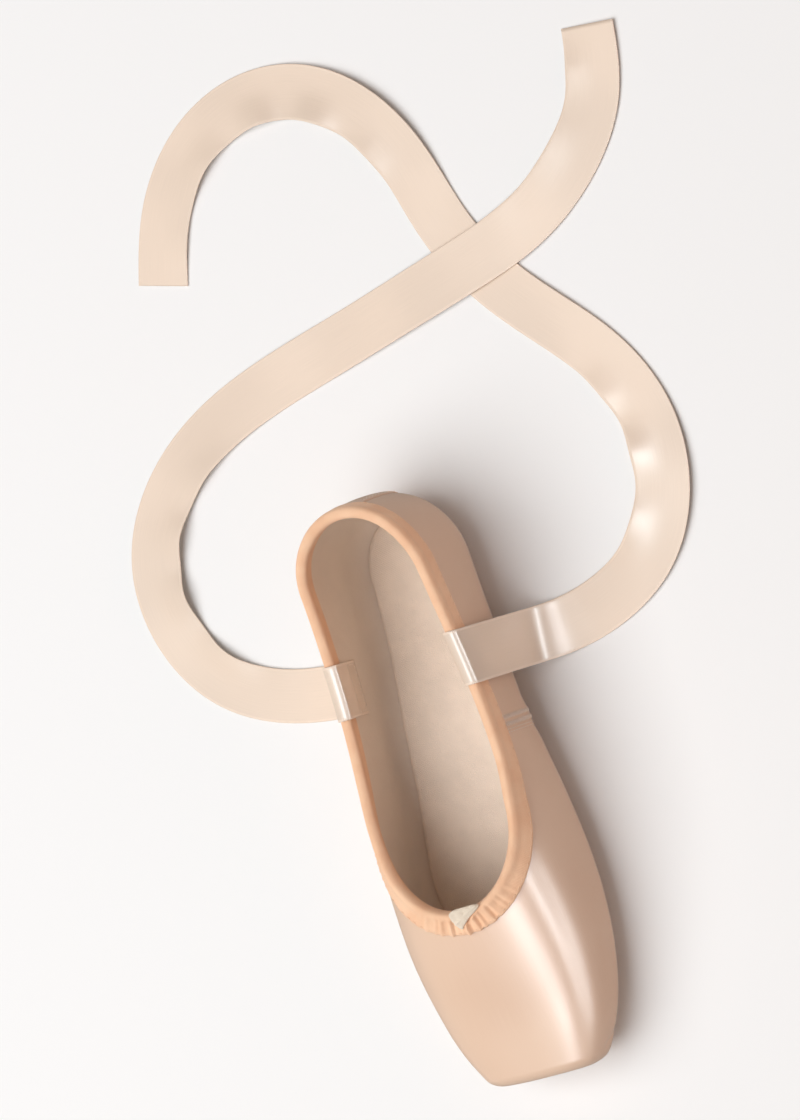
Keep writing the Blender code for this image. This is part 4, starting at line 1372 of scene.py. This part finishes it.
def binding_stations():
    """Stations along the topline, from the heel's back to the centre front, densest at the front."""
    fan, quarter, throat = BINDING_STEPS
    ahead = 1 - (1 - np.linspace(0, 1, throat + 1)[1:]) ** BINDING_CROWDING
    front = THROAT_BACK + THROAT_DEPTH * np.sin(ahead * math.pi / 2)
    return np.concatenate([heel_fan(fan), np.linspace(HEEL_CENTRE, THROAT_BACK, quarter + 1)[1:], front])


def binding_line():
    """The topline's points at the binding's stations, the way down there, and the length from the front."""
    edge = topline(binding_stations())
    return edge, edge_frame(edge)[1], lengths_along(edge[::-1])[::-1]


def binding_puckers(from_front, depth, sizes):
    """Height of the tape's gathers: uneven waves across its run, strongest at the centre front."""
    near = bell(from_front, PUCKER_SPREAD)
    quick = waves(from_front, PUCKER_WAVES)
    even, (height, rate, phase) = PUCKER_SLOW_WAVES
    slow = waves(from_front, (even, (height, rate, phase + PUCKER_SLANT * depth)))
    across = smooth_step(depth, *PUCKER_START) * (1 - 0.5 * smooth_step(depth, *PUCKER_END))
    share = PUCKER_ELSEWHERE + PUCKER_IN_FRONT * near
    return sizes.pucker_depth / MM * across * (near * quick + share * slow)


def binding_slit(from_front, depth):
    """Height of the slit's relief: a narrow bell-shaped trough along a slanted line, with a lip beside it."""
    beside = (from_front - SLIT_START - SLIT_SLANT * depth) / math.hypot(1, SLIT_SLANT)
    relief = ridge(beside, *SLIT_LIP) - ridge(beside, SLIT_DEPTH, 0, SLIT_WIDTH)
    return relief * (1 - smooth_step(depth, *SLIT_LOWER_END)) * smooth_step(depth, *SLIT_UPPER_END)


def binding_section(wall):
    """The tape's closed section at each station, as depth below the edge and distance off the last."""
    near, far = BINDING_GAP, BINDING_GAP + TAPE_THICKNESS
    inner_near = wall + BINDING_INNER_GAP
    inner_far = inner_near + TAPE_THICKNESS
    shoulder, outwards, inwards = (share * far for share in BINDING_SHOULDERS)
    rows = [
        # down behind the outer flap, and up its face
        (BINDING_CLEAR, near),
        *((depth * BINDING_OUTSIDE, near) for depth in BINDING_OUTER_BACK),
        (BINDING_OUTSIDE, near + BINDING_HEM),
        *((depth * BINDING_OUTSIDE, far + proud) for depth, proud in BINDING_OUTER_FACE),
        # over the crest
        (-shoulder, outwards),
        (-(far + BINDING_CREST), -wall / 2),
        (-shoulder, -(inner_far - inwards)),
        # down the inner flap's face, and up behind it
        *((depth * BINDING_INSIDE, -(inner_far + proud)) for depth, proud in BINDING_INNER_FACE),
        (BINDING_INSIDE, -(inner_near + BINDING_INNER_HEM * TAPE_THICKNESS)),
        *((depth * BINDING_INSIDE, -inner_near) for depth in BINDING_INNER_BACK),
        (-BINDING_CLEAR, -wall / 2),
    ]
    return np.array([np.broadcast_arrays(*row, wall)[:2] for row in rows]).transpose(2, 0, 1)


def add_binding(sizes, colours):
    """The folded tape round the topline: its section is carried along the edge, with gathers and a slit."""
    edge, down, from_front = binding_line()
    ring = closed_spline(binding_section(wall_thickness(edge[:, 0])), BINDING_SMOOTHING)
    depth, off = ring[..., 0], ring[..., 1]
    outside = off > BINDING_GAP + BINDING_RELIEF_FROM
    halves = []
    for side in (1, -1):
        signed = side * from_front[:, None]
        puckers = binding_puckers(signed, depth, sizes) * outside
        moved = off + puckers + binding_slit(signed, depth) * outside
        hem = HEM_WAVES * binding_puckers(signed, HEM_DEPTH, sizes) * smooth_step(depth, *HEM_START)
        start = edge[:, None] + down[:, None] * np.maximum(depth + hem, 0)[..., None]
        grid = settle(start, moved) - down[:, None] * np.maximum(-depth, 0)[..., None]
        grid[[0, -1], :, 1] = 0
        halves.append(grid * (1, side, 1))
    round_section = np.arange(ring.shape[1]) / ring.shape[1] * BINDING_ROUND
    uv = np.stack(np.broadcast_arrays(from_front[:, None], round_section[None]), axis=-1) * MM
    tones = colours.binding_light, colours.binding_deep
    tape = cotton_material("binding_cotton", *tones, *TAPE_WEAVE, roughness=TAPE_ROUGHNESS)
    finish_piece(join_halves("tape_binding", halves, tape, uv), "binding_cotton", "binding")


def on_heel(angles, shares, start, end):
    """Points up the back of the last: at signed angles round the heel centre, and at shares of its height.

    The shares run from a start outside the sole's edge to an end below the topline.
    """
    stations = HEEL_CENTRE * (1 - np.cos(angles))
    reach, height, length = sections(stations)
    half = reach.shape[1] // 2
    low_reach = (sole_reach(stations) + start)[:, None]
    low = read(low_reach, reach[:, : half + 1], length[:, : half + 1])
    high = (top_lengths(stations, reach, height, length) - end)[:, None]
    at = low + (high - low) * shares
    points = place(stations[:, None], read(at, length, reach), read(at, length, height))
    return points * np.stack([np.ones_like(angles), np.sign(angles), np.ones_like(angles)], axis=-1)[:, None]


def add_binding_stitches(sizes, colours):
    """The running stitches along the binding's lower hem, seated in the tape at even steps from the front."""
    edge, down, from_front = binding_line()
    pitch = sizes.stitch_pitch / MM
    at = np.arange(pitch, from_front[0] - HEM_STITCHES_END, pitch)
    line, ways = (
        np.stack([np.interp(at, from_front[::-1], rows[::-1, axis]) for axis in range(3)], axis=-1)
        for rows in (edge, down)
    )
    line += ways * (BINDING_OUTSIDE - HEM_STITCHES_UP)
    seats = settle(line, BINDING_GAP + TAPE_THICKNESS - STITCH_SINK)
    parts = [(seat, unit(np.gradient(seat, axis=0)), normals_of(seat)) for seat in mirrored(seats)]
    thread = thread_material("binding_thread", colours.binding_light)
    length, radius = sizes.stitch_length / MM, sizes.thread_radius / MM
    stitches = stitch_piece("binding_stitches", *gathered(parts), length, radius, thread)
    finish_piece(stitches, "binding_cotton")


def add_heel_strip(colours):
    """The satin strip over the back seam: a low pillow that thins out under the binding and the sole.

    Its height across is the root of 1 less the sixth power of the place, and its relief is bells and a wave.
    """
    columns, steps = STRIP_STEPS
    across = np.sin(np.linspace(-math.pi / 2, math.pi / 2, columns))
    shares = np.linspace(0, 1, steps)
    angles = across * STRIP_HALF_WIDTH / HEEL_CENTRE
    points = on_heel(angles, shares, -STRIP_UNDER_SOLE, BINDING_OUTSIDE - STRIP_UNDER_TAPE)
    tuck = smooth_step(shares, *STRIP_FOOT) * (1 - smooth_step(shares, *STRIP_HEAD))
    body = STRIP_HEIGHT * (1 - across**6)[:, None] ** 0.5
    rows = np.abs(across * STRIP_HALF_WIDTH)[:, None]
    sunk = sum(bell(rows - line, STRIP_CHANNEL_WIDTH) for line in STRIP_STITCH_ROWS if line > 0)
    channel = STRIP_CHANNEL * sunk
    height, upwards, sideways = STRIP_DRAG
    drag = height * np.sin(upwards * shares + sideways * across[:, None])
    drag = drag * bell(rows - STRIP_DRAG_LINE, STRIP_DRAG_WIDTH)
    top = STRIP_OFF + body * (STRIP_TUCKED + (1 - STRIP_TUCKED) * tuck) + (drag - channel) * tuck
    ring = np.concatenate([settle(points, top), settle(points, np.full(top.shape, STRIP_BACK))[::-1]])
    wrap = grid_faces(2, steps)
    wrap = np.where(wrap < steps, wrap + (len(ring) - 1) * steps, wrap - steps)
    faces = np.concatenate([grid_faces(*ring.shape[:2]), wrap])
    round_strip = np.concatenate([across, across[::-1]])[:, None] * (STRIP_HALF_WIDTH * MM)
    uv = np.stack(np.broadcast_arrays(shares[None] * (STRIP_LENGTH * MM), round_strip), -1)
    satin = satin_material("strip_satin", colours.satin_light, colours.satin_deep, STRIP_ROUGHNESS)
    strip = mesh_piece("satin_heel_strip", ring, faces, satin, uv)
    finish_piece(close_ends(strip), "strip_satin", "heel_strip")


def close_ends(piece):
    """The piece with its open ends filled."""
    shape = bmesh.new()
    shape.from_mesh(piece.data)
    rim = [edge for edge in shape.edges if edge.is_boundary]
    bmesh.ops.holes_fill(shape, edges=rim, sides=0)
    bmesh.ops.recalc_face_normals(shape, faces=shape.faces)
    shape.to_mesh(piece.data)
    shape.free()
    return piece


def add_strip_stitches(sizes, colours):
    """The four rows of stitches on the strip, at even shares of its height."""
    at = np.arange(*STRIP_STITCH_SHARES)
    parts = []
    for offset in STRIP_STITCH_ROWS:
        line = on_heel(np.full(1, offset / HEEL_CENTRE), at, 0.0, BINDING_OUTSIDE)[0]
        seats = settle(line, np.full(len(at), STRIP_STITCH_SEAT))
        parts.append((seats, unit(np.gradient(line, axis=0)), normals_of(line)))
    thread = thread_material("strip_thread", colours.thread)
    radius = sizes.thread_radius / MM
    stitches = stitch_piece("heel_strip_stitches", *gathered(parts), STRIP_STITCH_LENGTH, radius, thread)
    finish_piece(stitches, "strip_satin")


def gathered(parts):
    """The arrays of several lines of stitches, joined kind by kind."""
    return [np.concatenate(part) for part in zip(*parts)]


def seam_span():
    """Girths between which the side seam shows: from the sole's edge to the binding's lower hem."""
    stations = np.array([SEAM_STATION])
    reach, height, length = sections(stations)
    half = reach.shape[1] // 2
    topline_girth = top_lengths(stations, reach, height, length)[0] - length[0, half]
    beside_sole = sole_reach(SEAM_STATION) + SEAM_BESIDE_SOLE
    bottom = np.interp(beside_sole, reach[0, : half + 1], length[0, : half + 1]) - length[0, half]
    return bottom, topline_girth - BINDING_OUTSIDE - SEAM_BELOW_BINDING


def seam_line(stations, girths, side):
    """Points along a line of stitches on one side of the shoe, and the outward normals there."""
    points, outward = on_last(stations, girths[:, None])
    return points[:, 0] * (1, side, 1), outward[:, 0] * (1, side, 1)


def add_side_seams(sizes, colours):
    """The zigzag stitching over each side seam, from the binding to the sole, with two straight lines beside.

    A stitch of a zigzag runs from one turn of it to the next, and one of a line is centred on its point.
    """
    thread = thread_material("seam_thread", colours.thread)
    bottom, top = seam_span()
    count = int((top - bottom) / SEAM_ZIGZAG_PITCH)
    turns = np.linspace(bottom, top, 2 * count + 1)
    swing = np.where(np.arange(len(turns)) % 2, 0.5, -0.5) * SEAM_ZIGZAG_WIDTH
    places = np.arange(bottom, top, SEAM_LINE_PITCH)
    for side, name in ((1, "left"), (-1, "right")):
        parts = []
        for line in SEAM_ZIGZAGS:
            points, outward = seam_line(SEAM_STATION + line + swing, turns, side)
            way = np.diff(points, axis=0)
            span = np.linalg.norm(way, axis=1, keepdims=True)
            middles = (points[:-1] + points[1:]) / 2 + outward[:-1] * SEAM_ZIGZAG_LIFT
            parts.append((middles, way / span, outward[:-1], span))
        for line in SEAM_LINES:
            points, outward = seam_line(np.full(len(places), SEAM_STATION + line), places, side)
            lengths = np.full((len(places), 1), SEAM_LINE_STITCH)
            heading = unit(np.gradient(points, axis=0))
            parts.append((points + outward * SEAM_LINE_LIFT, heading, outward, lengths))
        radius = sizes.thread_radius / MM
        finish_piece(stitch_piece(f"seam_stitches_{name}", *gathered(parts), radius, thread), "satin")


def add_tab(colours):
    """The folded end of the drawstring: rings of its rounded outline, drawn in to the middle above and below.

    It falls with the square of the distance behind the binding's crest, and of that aside of the centre.
    """
    edge = topline(binding_stations())
    normal, down = edge_frame(edge)
    outline = closed_spline(np.array(TAB_OUTLINE)[None], TAB_SMOOTHING)[0]
    middle = outline.mean(0)
    turn = np.radians(np.linspace(-90, 90, TAB_RINGS))
    shrink = np.abs(np.cos(turn)) ** TAB_FULLNESS[0]
    shrink[[0, -1]] = 0
    height = np.sign(turn) * np.abs(np.sin(turn)) ** TAB_FULLNESS[1] * TAB_THICKNESS / 2
    flat = middle + (outline - middle)[None] * shrink[:, None, None]
    ahead, across = flat[..., 0], flat[..., 1]
    slant = ahead + TAB_SLANT * across
    pleat = ridge(slant, *TAB_RIDGE) - ridge(slant, *TAB_GROOVE)
    swell, sideways, backwards = TAB_RUMPLE
    rumple = swell * np.sin(sideways * across - backwards * ahead) + ridge(across, *TAB_END_FOLD)
    bend = -TAB_FALL_BEHIND * np.maximum(-TAB_CREST - ahead, 0) ** 2 - TAB_FALL_ASIDE * across**2
    relief = (pleat + rumple) * np.where(height > 0, 1, TAB_RELIEF_BELOW)[:, None]
    seat = edge[-1] + normal[-1] * (BINDING_GAP + TAPE_THICKNESS + TAB_THICKNESS / 2)
    way = np.array([down[-1, 0], 0, down[-1, 2]]) / math.hypot(down[-1, 0], down[-1, 2])
    up = np.array([-way[2], 0, way[0]])
    lift = height[:, None] + relief + bend
    points = seat + ahead[..., None] * way + across[..., None] * (0, 1, 0) + lift[..., None] * up
    faces = grid_faces(*points.shape[:2], closed=True)
    deep = toned(colours.cord, CORD_DEEP)
    cream = cotton_material("drawstring_cotton", colours.cord, deep, *CORD_WEAVE, diagonal=True)
    tab = mesh_piece("folded_tab", points, faces, cream, flat * MM)
    finish_piece(tab, "drawstring_cotton", "drawstring_tab")


def wall_rungs(side, across):
    """The first rungs of a ribbon: up inside the quarter, over the binding and down clear of the wall."""
    clear = GAP + CAD_RIBBON_THICKNESS / 2
    inside = QUARTER_WALL + BINDING_INNER_GAP + TAPE_THICKNESS + clear + GAP
    outside = BINDING_GAP + TAPE_THICKNESS + clear + GAP
    over = BINDING_GAP + TAPE_THICKNESS + BINDING_CREST + clear
    edge = topline(RIBBON_STATION + across)[None]
    depths = np.array(SEWN_DEPTHS)[:, None, None]
    sewn = edge - depths * (0, 0, 1)
    sewn = settle(sewn, np.full(sewn.shape[:2], -(QUARTER_WALL + clear)))
    shoulder = over - TURN_DROP * RIBBON_CORNER
    steps = [
        (-inside, -BINDING_INSIDE - 2),
        (-inside, -RIBBON_CORNER / 2),
        (-inside + RIBBON_CORNER, shoulder),
        (-QUARTER_WALL / 2, over + TURN_RISE * RIBBON_CORNER),
        (outside - RIBBON_CORNER, shoulder),
        *((outside + out, height) for out, height in FALL),
    ]
    falling = edge + np.array([(0, out, up) for out, up in steps])[:, None]
    return np.concatenate([sewn, falling]) * (1, side, 1)


def floor_rungs(side, route, length, across):
    """The rungs of a ribbon on its floor route, a cubic spline, for a length; each is square to its way."""
    rows = np.array(route, float)
    table = np.column_stack([lengths_along(rows), rows])
    at = np.linspace(0, length, round(length / RIBBON_STEP) + 1)
    names = ("gone", *ROUTE_COLUMNS)
    line = np.stack([Curve(table, names, name, "gone")(at) for name in ROUTE_COLUMNS], axis=-1)
    line[:, 0] += MIDDLE
    heading = np.gradient(line[:, :2], axis=0)
    heading[0] = (0, side)
    heading = unit(heading)
    square = np.stack([side * heading[:, 1], -side * heading[:, 0], np.zeros(len(at))], axis=-1)
    return line[:, None] + across[None, :, None] * square[:, None]


def open_spline(knots, steps):
    """Points on a smooth curve through knots along the first axis, ends included."""
    padded = np.concatenate([2 * knots[:1] - knots[1:2], knots, 2 * knots[-1:] - knots[-2:-1]])
    t = (np.arange(steps) / steps).reshape(1, -1, *[1] * (knots.ndim - 1))
    curve = spline_between(padded[:-3, None], padded[1:-2, None], padded[2:-1, None], padded[3:, None], t)
    return np.concatenate([curve.reshape(-1, *knots.shape[1:]), knots[-1:]])


def wandering_wave(at, length, drift, slow):
    """A sine wave whose phase drifts as a slower sine wave."""
    return np.sin(at / length + drift * np.sin(at / slow))


def ribbon_ripples(gone, across, bend, sizes):
    """Height of a laid ribbon's waves: sines along its inner edge in a bend, and along each edge in turn."""
    share = across[None] / (RIBBON_WIDTH / 2)
    gone, bend = gone[:, None], bend[:, None]
    inner = smooth_step(share * np.sign(bend), *BUCKLE_ACROSS)
    tight = smooth_step(np.abs(bend), *BUCKLE_BEND)
    buckle = inner * tight * (1 + wandering_wave(gone, *BUCKLE_WAVE)) * 0.5
    lean = LEAN_HEIGHT * (1 + wandering_wave(gone, *LEAN_WAVE) * share)
    return sizes.ribbon_ripple / MM * (BUCKLE_SHARE * buckle + LEAN_SHARE * lean)


def between(grid, row, column):
    """Values read between the points of a grid, at fractional rows and columns."""
    i = np.minimum(row.astype(int), grid.shape[0] - 2)
    j = np.minimum(column.astype(int), grid.shape[1] - 2)
    u, v = (row - i)[:, None], (column - j)[:, None]
    near = grid[i, j] * (1 - u) + grid[i + 1, j] * u
    far = grid[i, j + 1] * (1 - u) + grid[i + 1, j + 1] * u
    return near * (1 - v) + far * v


def sewn_stitches(rungs, normal, gone, across, lift):
    """Running stitches round a ribbon's sewn end: their middles, headings and normals, read off its rungs."""
    parts = []
    for from_gone, from_across, to_gone, to_across in SEWN_LINES:
        length = math.hypot(to_gone - from_gone, to_across - from_across)
        share = (np.arange(round(length / SEWN_PITCH)) + 0.5) / round(length / SEWN_PITCH)
        seats = []
        for step in (-SEWN_STEP, 0, SEWN_STEP):
            down = from_gone + (to_gone - from_gone) * (share + step)
            aside = from_across + (to_across - from_across) * (share + step)
            row = np.interp(down, gone, np.arange(len(gone)))
            column = np.interp(aside, across, np.arange(len(across)))
            seats.append((between(rungs, row, column), between(normal, row, column)))
        parts.append((seats[1][0], unit(seats[2][0] - seats[0][0]), seats[1][1]))
    middles, headings, normals = gathered(parts)
    normals *= np.sign(-(normals * middles * (0, 1, 0)).sum(1, keepdims=True))
    return middles + normals * lift, headings, normals


def ribbon_rungs(side, route, across, sizes):
    """A ribbon's rungs from its sewn end to its free end, with its waves, and the length gone at each.

    The waves follow the bend of its middle line, averaged over a few rungs, and fade where the ribbons cross.
    """
    fall = wall_rungs(side, across)
    middle = len(across) // 2
    landing = np.linalg.norm(fall[-1, middle] - (MIDDLE, 0, 0) - route[0])
    fallen = np.linalg.norm(np.diff(fall[:, middle], axis=0), axis=1).sum()
    laid = floor_rungs(side, route, RIBBON_LENGTH - fallen - landing, across)
    rungs = open_spline(np.concatenate([fall, laid]), RIBBON_SMOOTHING)
    line = rungs[:, middle]
    gone = lengths_along(line)
    heading = np.unwrap(np.arctan2(*np.gradient(line[:, 1::-1], axis=0).T))
    bend = np.gradient(heading) / np.maximum(np.gradient(gone), 1e-6)
    bend = np.convolve(bend, np.ones(BEND_WINDOW) / BEND_WINDOW, mode="same")
    away = np.hypot(line[:, 0] - MIDDLE - RIBBON_CROSSING[0], line[:, 1] - RIBBON_CROSSING[1])
    calm = CROSSING_CALM * bell(gone - gone[np.argmin(away)], CROSSING_WIDTH)
    floor = smooth_step(gone, *WAVES_START) * (1 - calm)
    ripple = ribbon_ripples(gone, -side * across, bend, sizes) * floor[:, None]
    rungs[..., 2] += ripple - RIBBON_SINK * floor[:, None]
    return rungs, gone


def add_ribbons(sizes, colours):
    """The two satin ribbons: each a thin strip over smooth rungs, thicker at its woven edges."""
    edge = 0.5 * RIBBON_WIDTH * MM - WOVEN_EDGE
    deep = toned(colours.ribbon, RIBBON_DEEP)
    satin = satin_material("ribbon_satin", colours.ribbon, deep, RIBBON_ROUGHNESS, edge=edge)
    thread = thread_material("ribbon_thread", colours.thread)
    share = np.array(RIBBON_SHARES)
    across = share * RIBBON_WIDTH / 2
    from_middle = np.abs(share)
    selvedge = 1 + SELVEDGE_THICKER * (from_middle > SELVEDGE_FROM) - SELVEDGE_ROUNDED * (from_middle == 1)
    round_ribbon = np.concatenate([across, across[::-1]])[None]
    thickness = sizes.ribbon_thickness / MM / 2
    for side, name, route in ((1, "left", LEFT_ROUTE), (-1, "right", RIGHT_ROUTE)):
        rungs, gone = ribbon_rungs(side, route, across, sizes)
        normal = unit(np.cross(np.gradient(rungs, axis=1), np.gradient(rungs, axis=0)))
        stitches = sewn_stitches(rungs, normal, gone, across, thickness)
        radius = sizes.thread_radius / MM
        sewn = stitch_piece(f"ribbon_stitches_{name}", *stitches, SEWN_PITCH * SEWN_SHARE, radius, thread)
        finish_piece(sewn, "ribbon_satin")
        half = normal * (thickness * selvedge)[None, :, None]
        ring = np.concatenate([rungs + half, (rungs - half)[:, ::-1]], axis=1)
        uv = np.stack(np.broadcast_arrays(gone[:, None], round_ribbon), -1) * MM
        faces = grid_faces(*ring.shape[:2], closed=True)
        piece = mesh_piece(f"satin_ribbon_{name}", ring, faces, satin, uv, weld=False)
        finish_piece(close_ends(piece), "ribbon_satin", f"ribbon_{name}")


def standing(side, up, back, spot):
    """The matrix of a lamp or a camera from its axes, the third away from what it faces, and its place."""
    turned = np.stack([side, up, back], axis=1)
    return Matrix([[*row, at] for row, at in zip(turned, spot)] + [[0, 0, 0, 1]])


def tipped(aside, ahead):
    """The way from the shoe to a lamp or the camera, from its angles to the vertical towards +Y and +X."""
    return np.array([math.sin(ahead), math.cos(ahead) * math.sin(aside), math.cos(ahead) * math.cos(aside)])


def area_light(name, aside, ahead, distance, across, along, strength, colour, diffuse, glossy):
    """A soft rectangular light that faces the shoe, from its angles to the vertical towards +Y and +X.

    The strength is the brightness that it alone gives a white surface facing it.
    """
    data = bpy.data.lights.new(name, "AREA")
    data.shape = "RECTANGLE"
    data.size, data.size_y = along, across
    data.energy = strength * (math.pi * distance) ** 2
    data.color = colour
    lamp = bpy.data.objects.new(name, data)
    lamp.visible_diffuse, lamp.visible_glossy = diffuse, glossy
    aside, ahead = math.radians(aside), math.radians(ahead)
    back = tipped(aside, ahead)
    side = np.cross((0, math.cos(aside), -math.sin(aside)), back)
    lamp.matrix_world = standing(side, np.cross(back, side), back, back * distance + LIGHTS_AIM)
    bpy.context.scene.collection.objects.link(lamp)


def set_camera():
    """The camera: it looks down from its angles to the vertical, and its picture is rolled."""
    tilt, forward, roll = (math.radians(angle) for angle in (CAMERA_TILT, CAMERA_FORWARD, CAMERA_ROLL))
    back = tipped(tilt, forward)
    right = np.array([0, math.cos(tilt), -math.sin(tilt)])
    down = np.cross(right, back)
    down *= np.sign(down[0])
    right, down = (
        right * math.cos(roll) + down * math.sin(roll),
        down * math.cos(roll) - right * math.sin(roll),
    )
    data = bpy.data.cameras.new("camera")
    data.lens = CAMERA_LENS
    camera = bpy.data.objects.new("camera", data)
    camera.matrix_world = standing(right, -down, back, np.array(CAMERA_AIM) + back * CAMERA_DISTANCE)
    bpy.context.scene.collection.objects.link(camera)
    bpy.context.scene.camera = camera


def set_stage(colours):
    """A pale floor that doesn't mirror in the satin, soft even light all round, and the studio's lights."""
    mesh = bpy.data.meshes.new("floor")
    corners = [(x * FLOOR_REACH, y * FLOOR_REACH, 0) for x, y in ((-1, -1), (1, -1), (1, 1), (-1, 1))]
    mesh.from_pydata(corners, [], [(0, 1, 2, 3)])
    paint = Paint("floor", 0.9, specular=0.15)
    speck = paint.noise(paint.place(), FLOOR_SPECKS, 2.0)
    mesh.materials.append(paint.finish(paint.mix(speck, toned(colours.floor, FLOOR_DEEP), colours.floor)))
    floor = bpy.data.objects.new("floor", mesh)
    bpy.context.scene.collection.objects.link(floor)
    floor.visible_glossy = False

    world = bpy.data.worlds.new("studio")
    world.use_nodes = True
    sky = world.node_tree.nodes["Background"].inputs
    sky["Color"].default_value = (*SKY_COLOUR, 1)
    sky["Strength"].default_value = SKY_STRENGTH
    bpy.context.scene.world = world
    bpy.context.scene.view_settings.view_transform = "Standard"
    for row in LIGHTS:
        area_light(*row)


class POINTE_OT_upper(bpy.types.Operator):
    """Add the satin upper and its lining"""

    bl_idname = "pointe.add_upper"
    bl_label = "Satin upper"
    bl_options = {"REGISTER", "UNDO"}

    def execute(self, context):
        sizes, colours = context.scene.pointe_sizes, context.scene.pointe_colours
        add_upper(sizes, colours)
        add_lining(colours)
        return {"FINISHED"}


class POINTE_OT_sole(bpy.types.Operator):
    """Add the leather sole and the sock inside"""

    bl_idname = "pointe.add_sole"
    bl_label = "Sole and sock"
    bl_options = {"REGISTER", "UNDO"}

    def execute(self, context):
        sizes, colours = context.scene.pointe_sizes, context.scene.pointe_colours
        add_sole(sizes, colours)
        add_sock(colours)
        return {"FINISHED"}


class POINTE_OT_binding(bpy.types.Operator):
    """Add the tape round the topline and its stitches"""

    bl_idname = "pointe.add_binding"
    bl_label = "Binding"
    bl_options = {"REGISTER", "UNDO"}

    def execute(self, context):
        sizes, colours = context.scene.pointe_sizes, context.scene.pointe_colours
        add_binding(sizes, colours)
        add_binding_stitches(sizes, colours)
        return {"FINISHED"}


class POINTE_OT_heel_strip(bpy.types.Operator):
    """Add the strip over the back seam and its stitches"""

    bl_idname = "pointe.add_heel_strip"
    bl_label = "Heel strip"
    bl_options = {"REGISTER", "UNDO"}

    def execute(self, context):
        sizes, colours = context.scene.pointe_sizes, context.scene.pointe_colours
        add_heel_strip(colours)
        add_strip_stitches(sizes, colours)
        return {"FINISHED"}


class POINTE_OT_side_seams(bpy.types.Operator):
    """Add the stitching over the side seams"""

    bl_idname = "pointe.add_side_seams"
    bl_label = "Side seams"
    bl_options = {"REGISTER", "UNDO"}

    def execute(self, context):
        sizes, colours = context.scene.pointe_sizes, context.scene.pointe_colours
        add_side_seams(sizes, colours)
        return {"FINISHED"}


class POINTE_OT_tab(bpy.types.Operator):
    """Add the folded end of the drawstring"""

    bl_idname = "pointe.add_tab"
    bl_label = "Drawstring tab"
    bl_options = {"REGISTER", "UNDO"}

    def execute(self, context):
        colours = context.scene.pointe_colours
        add_tab(colours)
        return {"FINISHED"}


class POINTE_OT_ribbons(bpy.types.Operator):
    """Add the two satin ribbons"""

    bl_idname = "pointe.add_ribbons"
    bl_label = "Ribbons"
    bl_options = {"REGISTER", "UNDO"}

    def execute(self, context):
        sizes, colours = context.scene.pointe_sizes, context.scene.pointe_colours
        add_ribbons(sizes, colours)
        return {"FINISHED"}


class POINTE_OT_stage(bpy.types.Operator):
    """Set the floor, the lights and the camera"""

    bl_idname = "pointe.set_stage"
    bl_label = "Studio"
    bl_options = {"REGISTER", "UNDO"}

    def execute(self, context):
        colours = context.scene.pointe_colours
        set_stage(colours)
        set_camera()
        return {"FINISHED"}


OPERATORS = (
    POINTE_OT_stage,
    POINTE_OT_upper,
    POINTE_OT_sole,
    POINTE_OT_binding,
    POINTE_OT_heel_strip,
    POINTE_OT_side_seams,
    POINTE_OT_tab,
    POINTE_OT_ribbons,
)


class POINTE_PT_looks(bpy.types.Panel):
    """The shoe's pieces and their sizes and colours"""

    bl_idname = "POINTE_PT_looks"
    bl_label = "Pointe shoe"
    bl_space_type = "VIEW_3D"
    bl_region_type = "UI"
    bl_category = "Pointe shoe"

    def draw(self, context):
        for operator in OPERATORS:
            self.layout.operator(operator.bl_idname)
        for group in (context.scene.pointe_sizes, context.scene.pointe_colours):
            for name in group.__annotations__:
                self.layout.prop(group, name)


CLASSES = (PointeSizes, PointeColours, *OPERATORS, POINTE_PT_looks)


def register():
    for item in CLASSES:
        bpy.utils.register_class(item)
    bpy.types.Scene.pointe_sizes = PointerProperty(type=PointeSizes)
    bpy.types.Scene.pointe_colours = PointerProperty(type=PointeColours)


def unregister():
    del bpy.types.Scene.pointe_colours
    del bpy.types.Scene.pointe_sizes
    for item in reversed(CLASSES):
        bpy.utils.unregister_class(item)


def main():
    """Registers the add-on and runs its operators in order."""
    register()
    for operator in OPERATORS:
        group, name = operator.bl_idname.split(".")
        getattr(getattr(bpy.ops, group), name)()


if __name__ == "__main__":
    main()
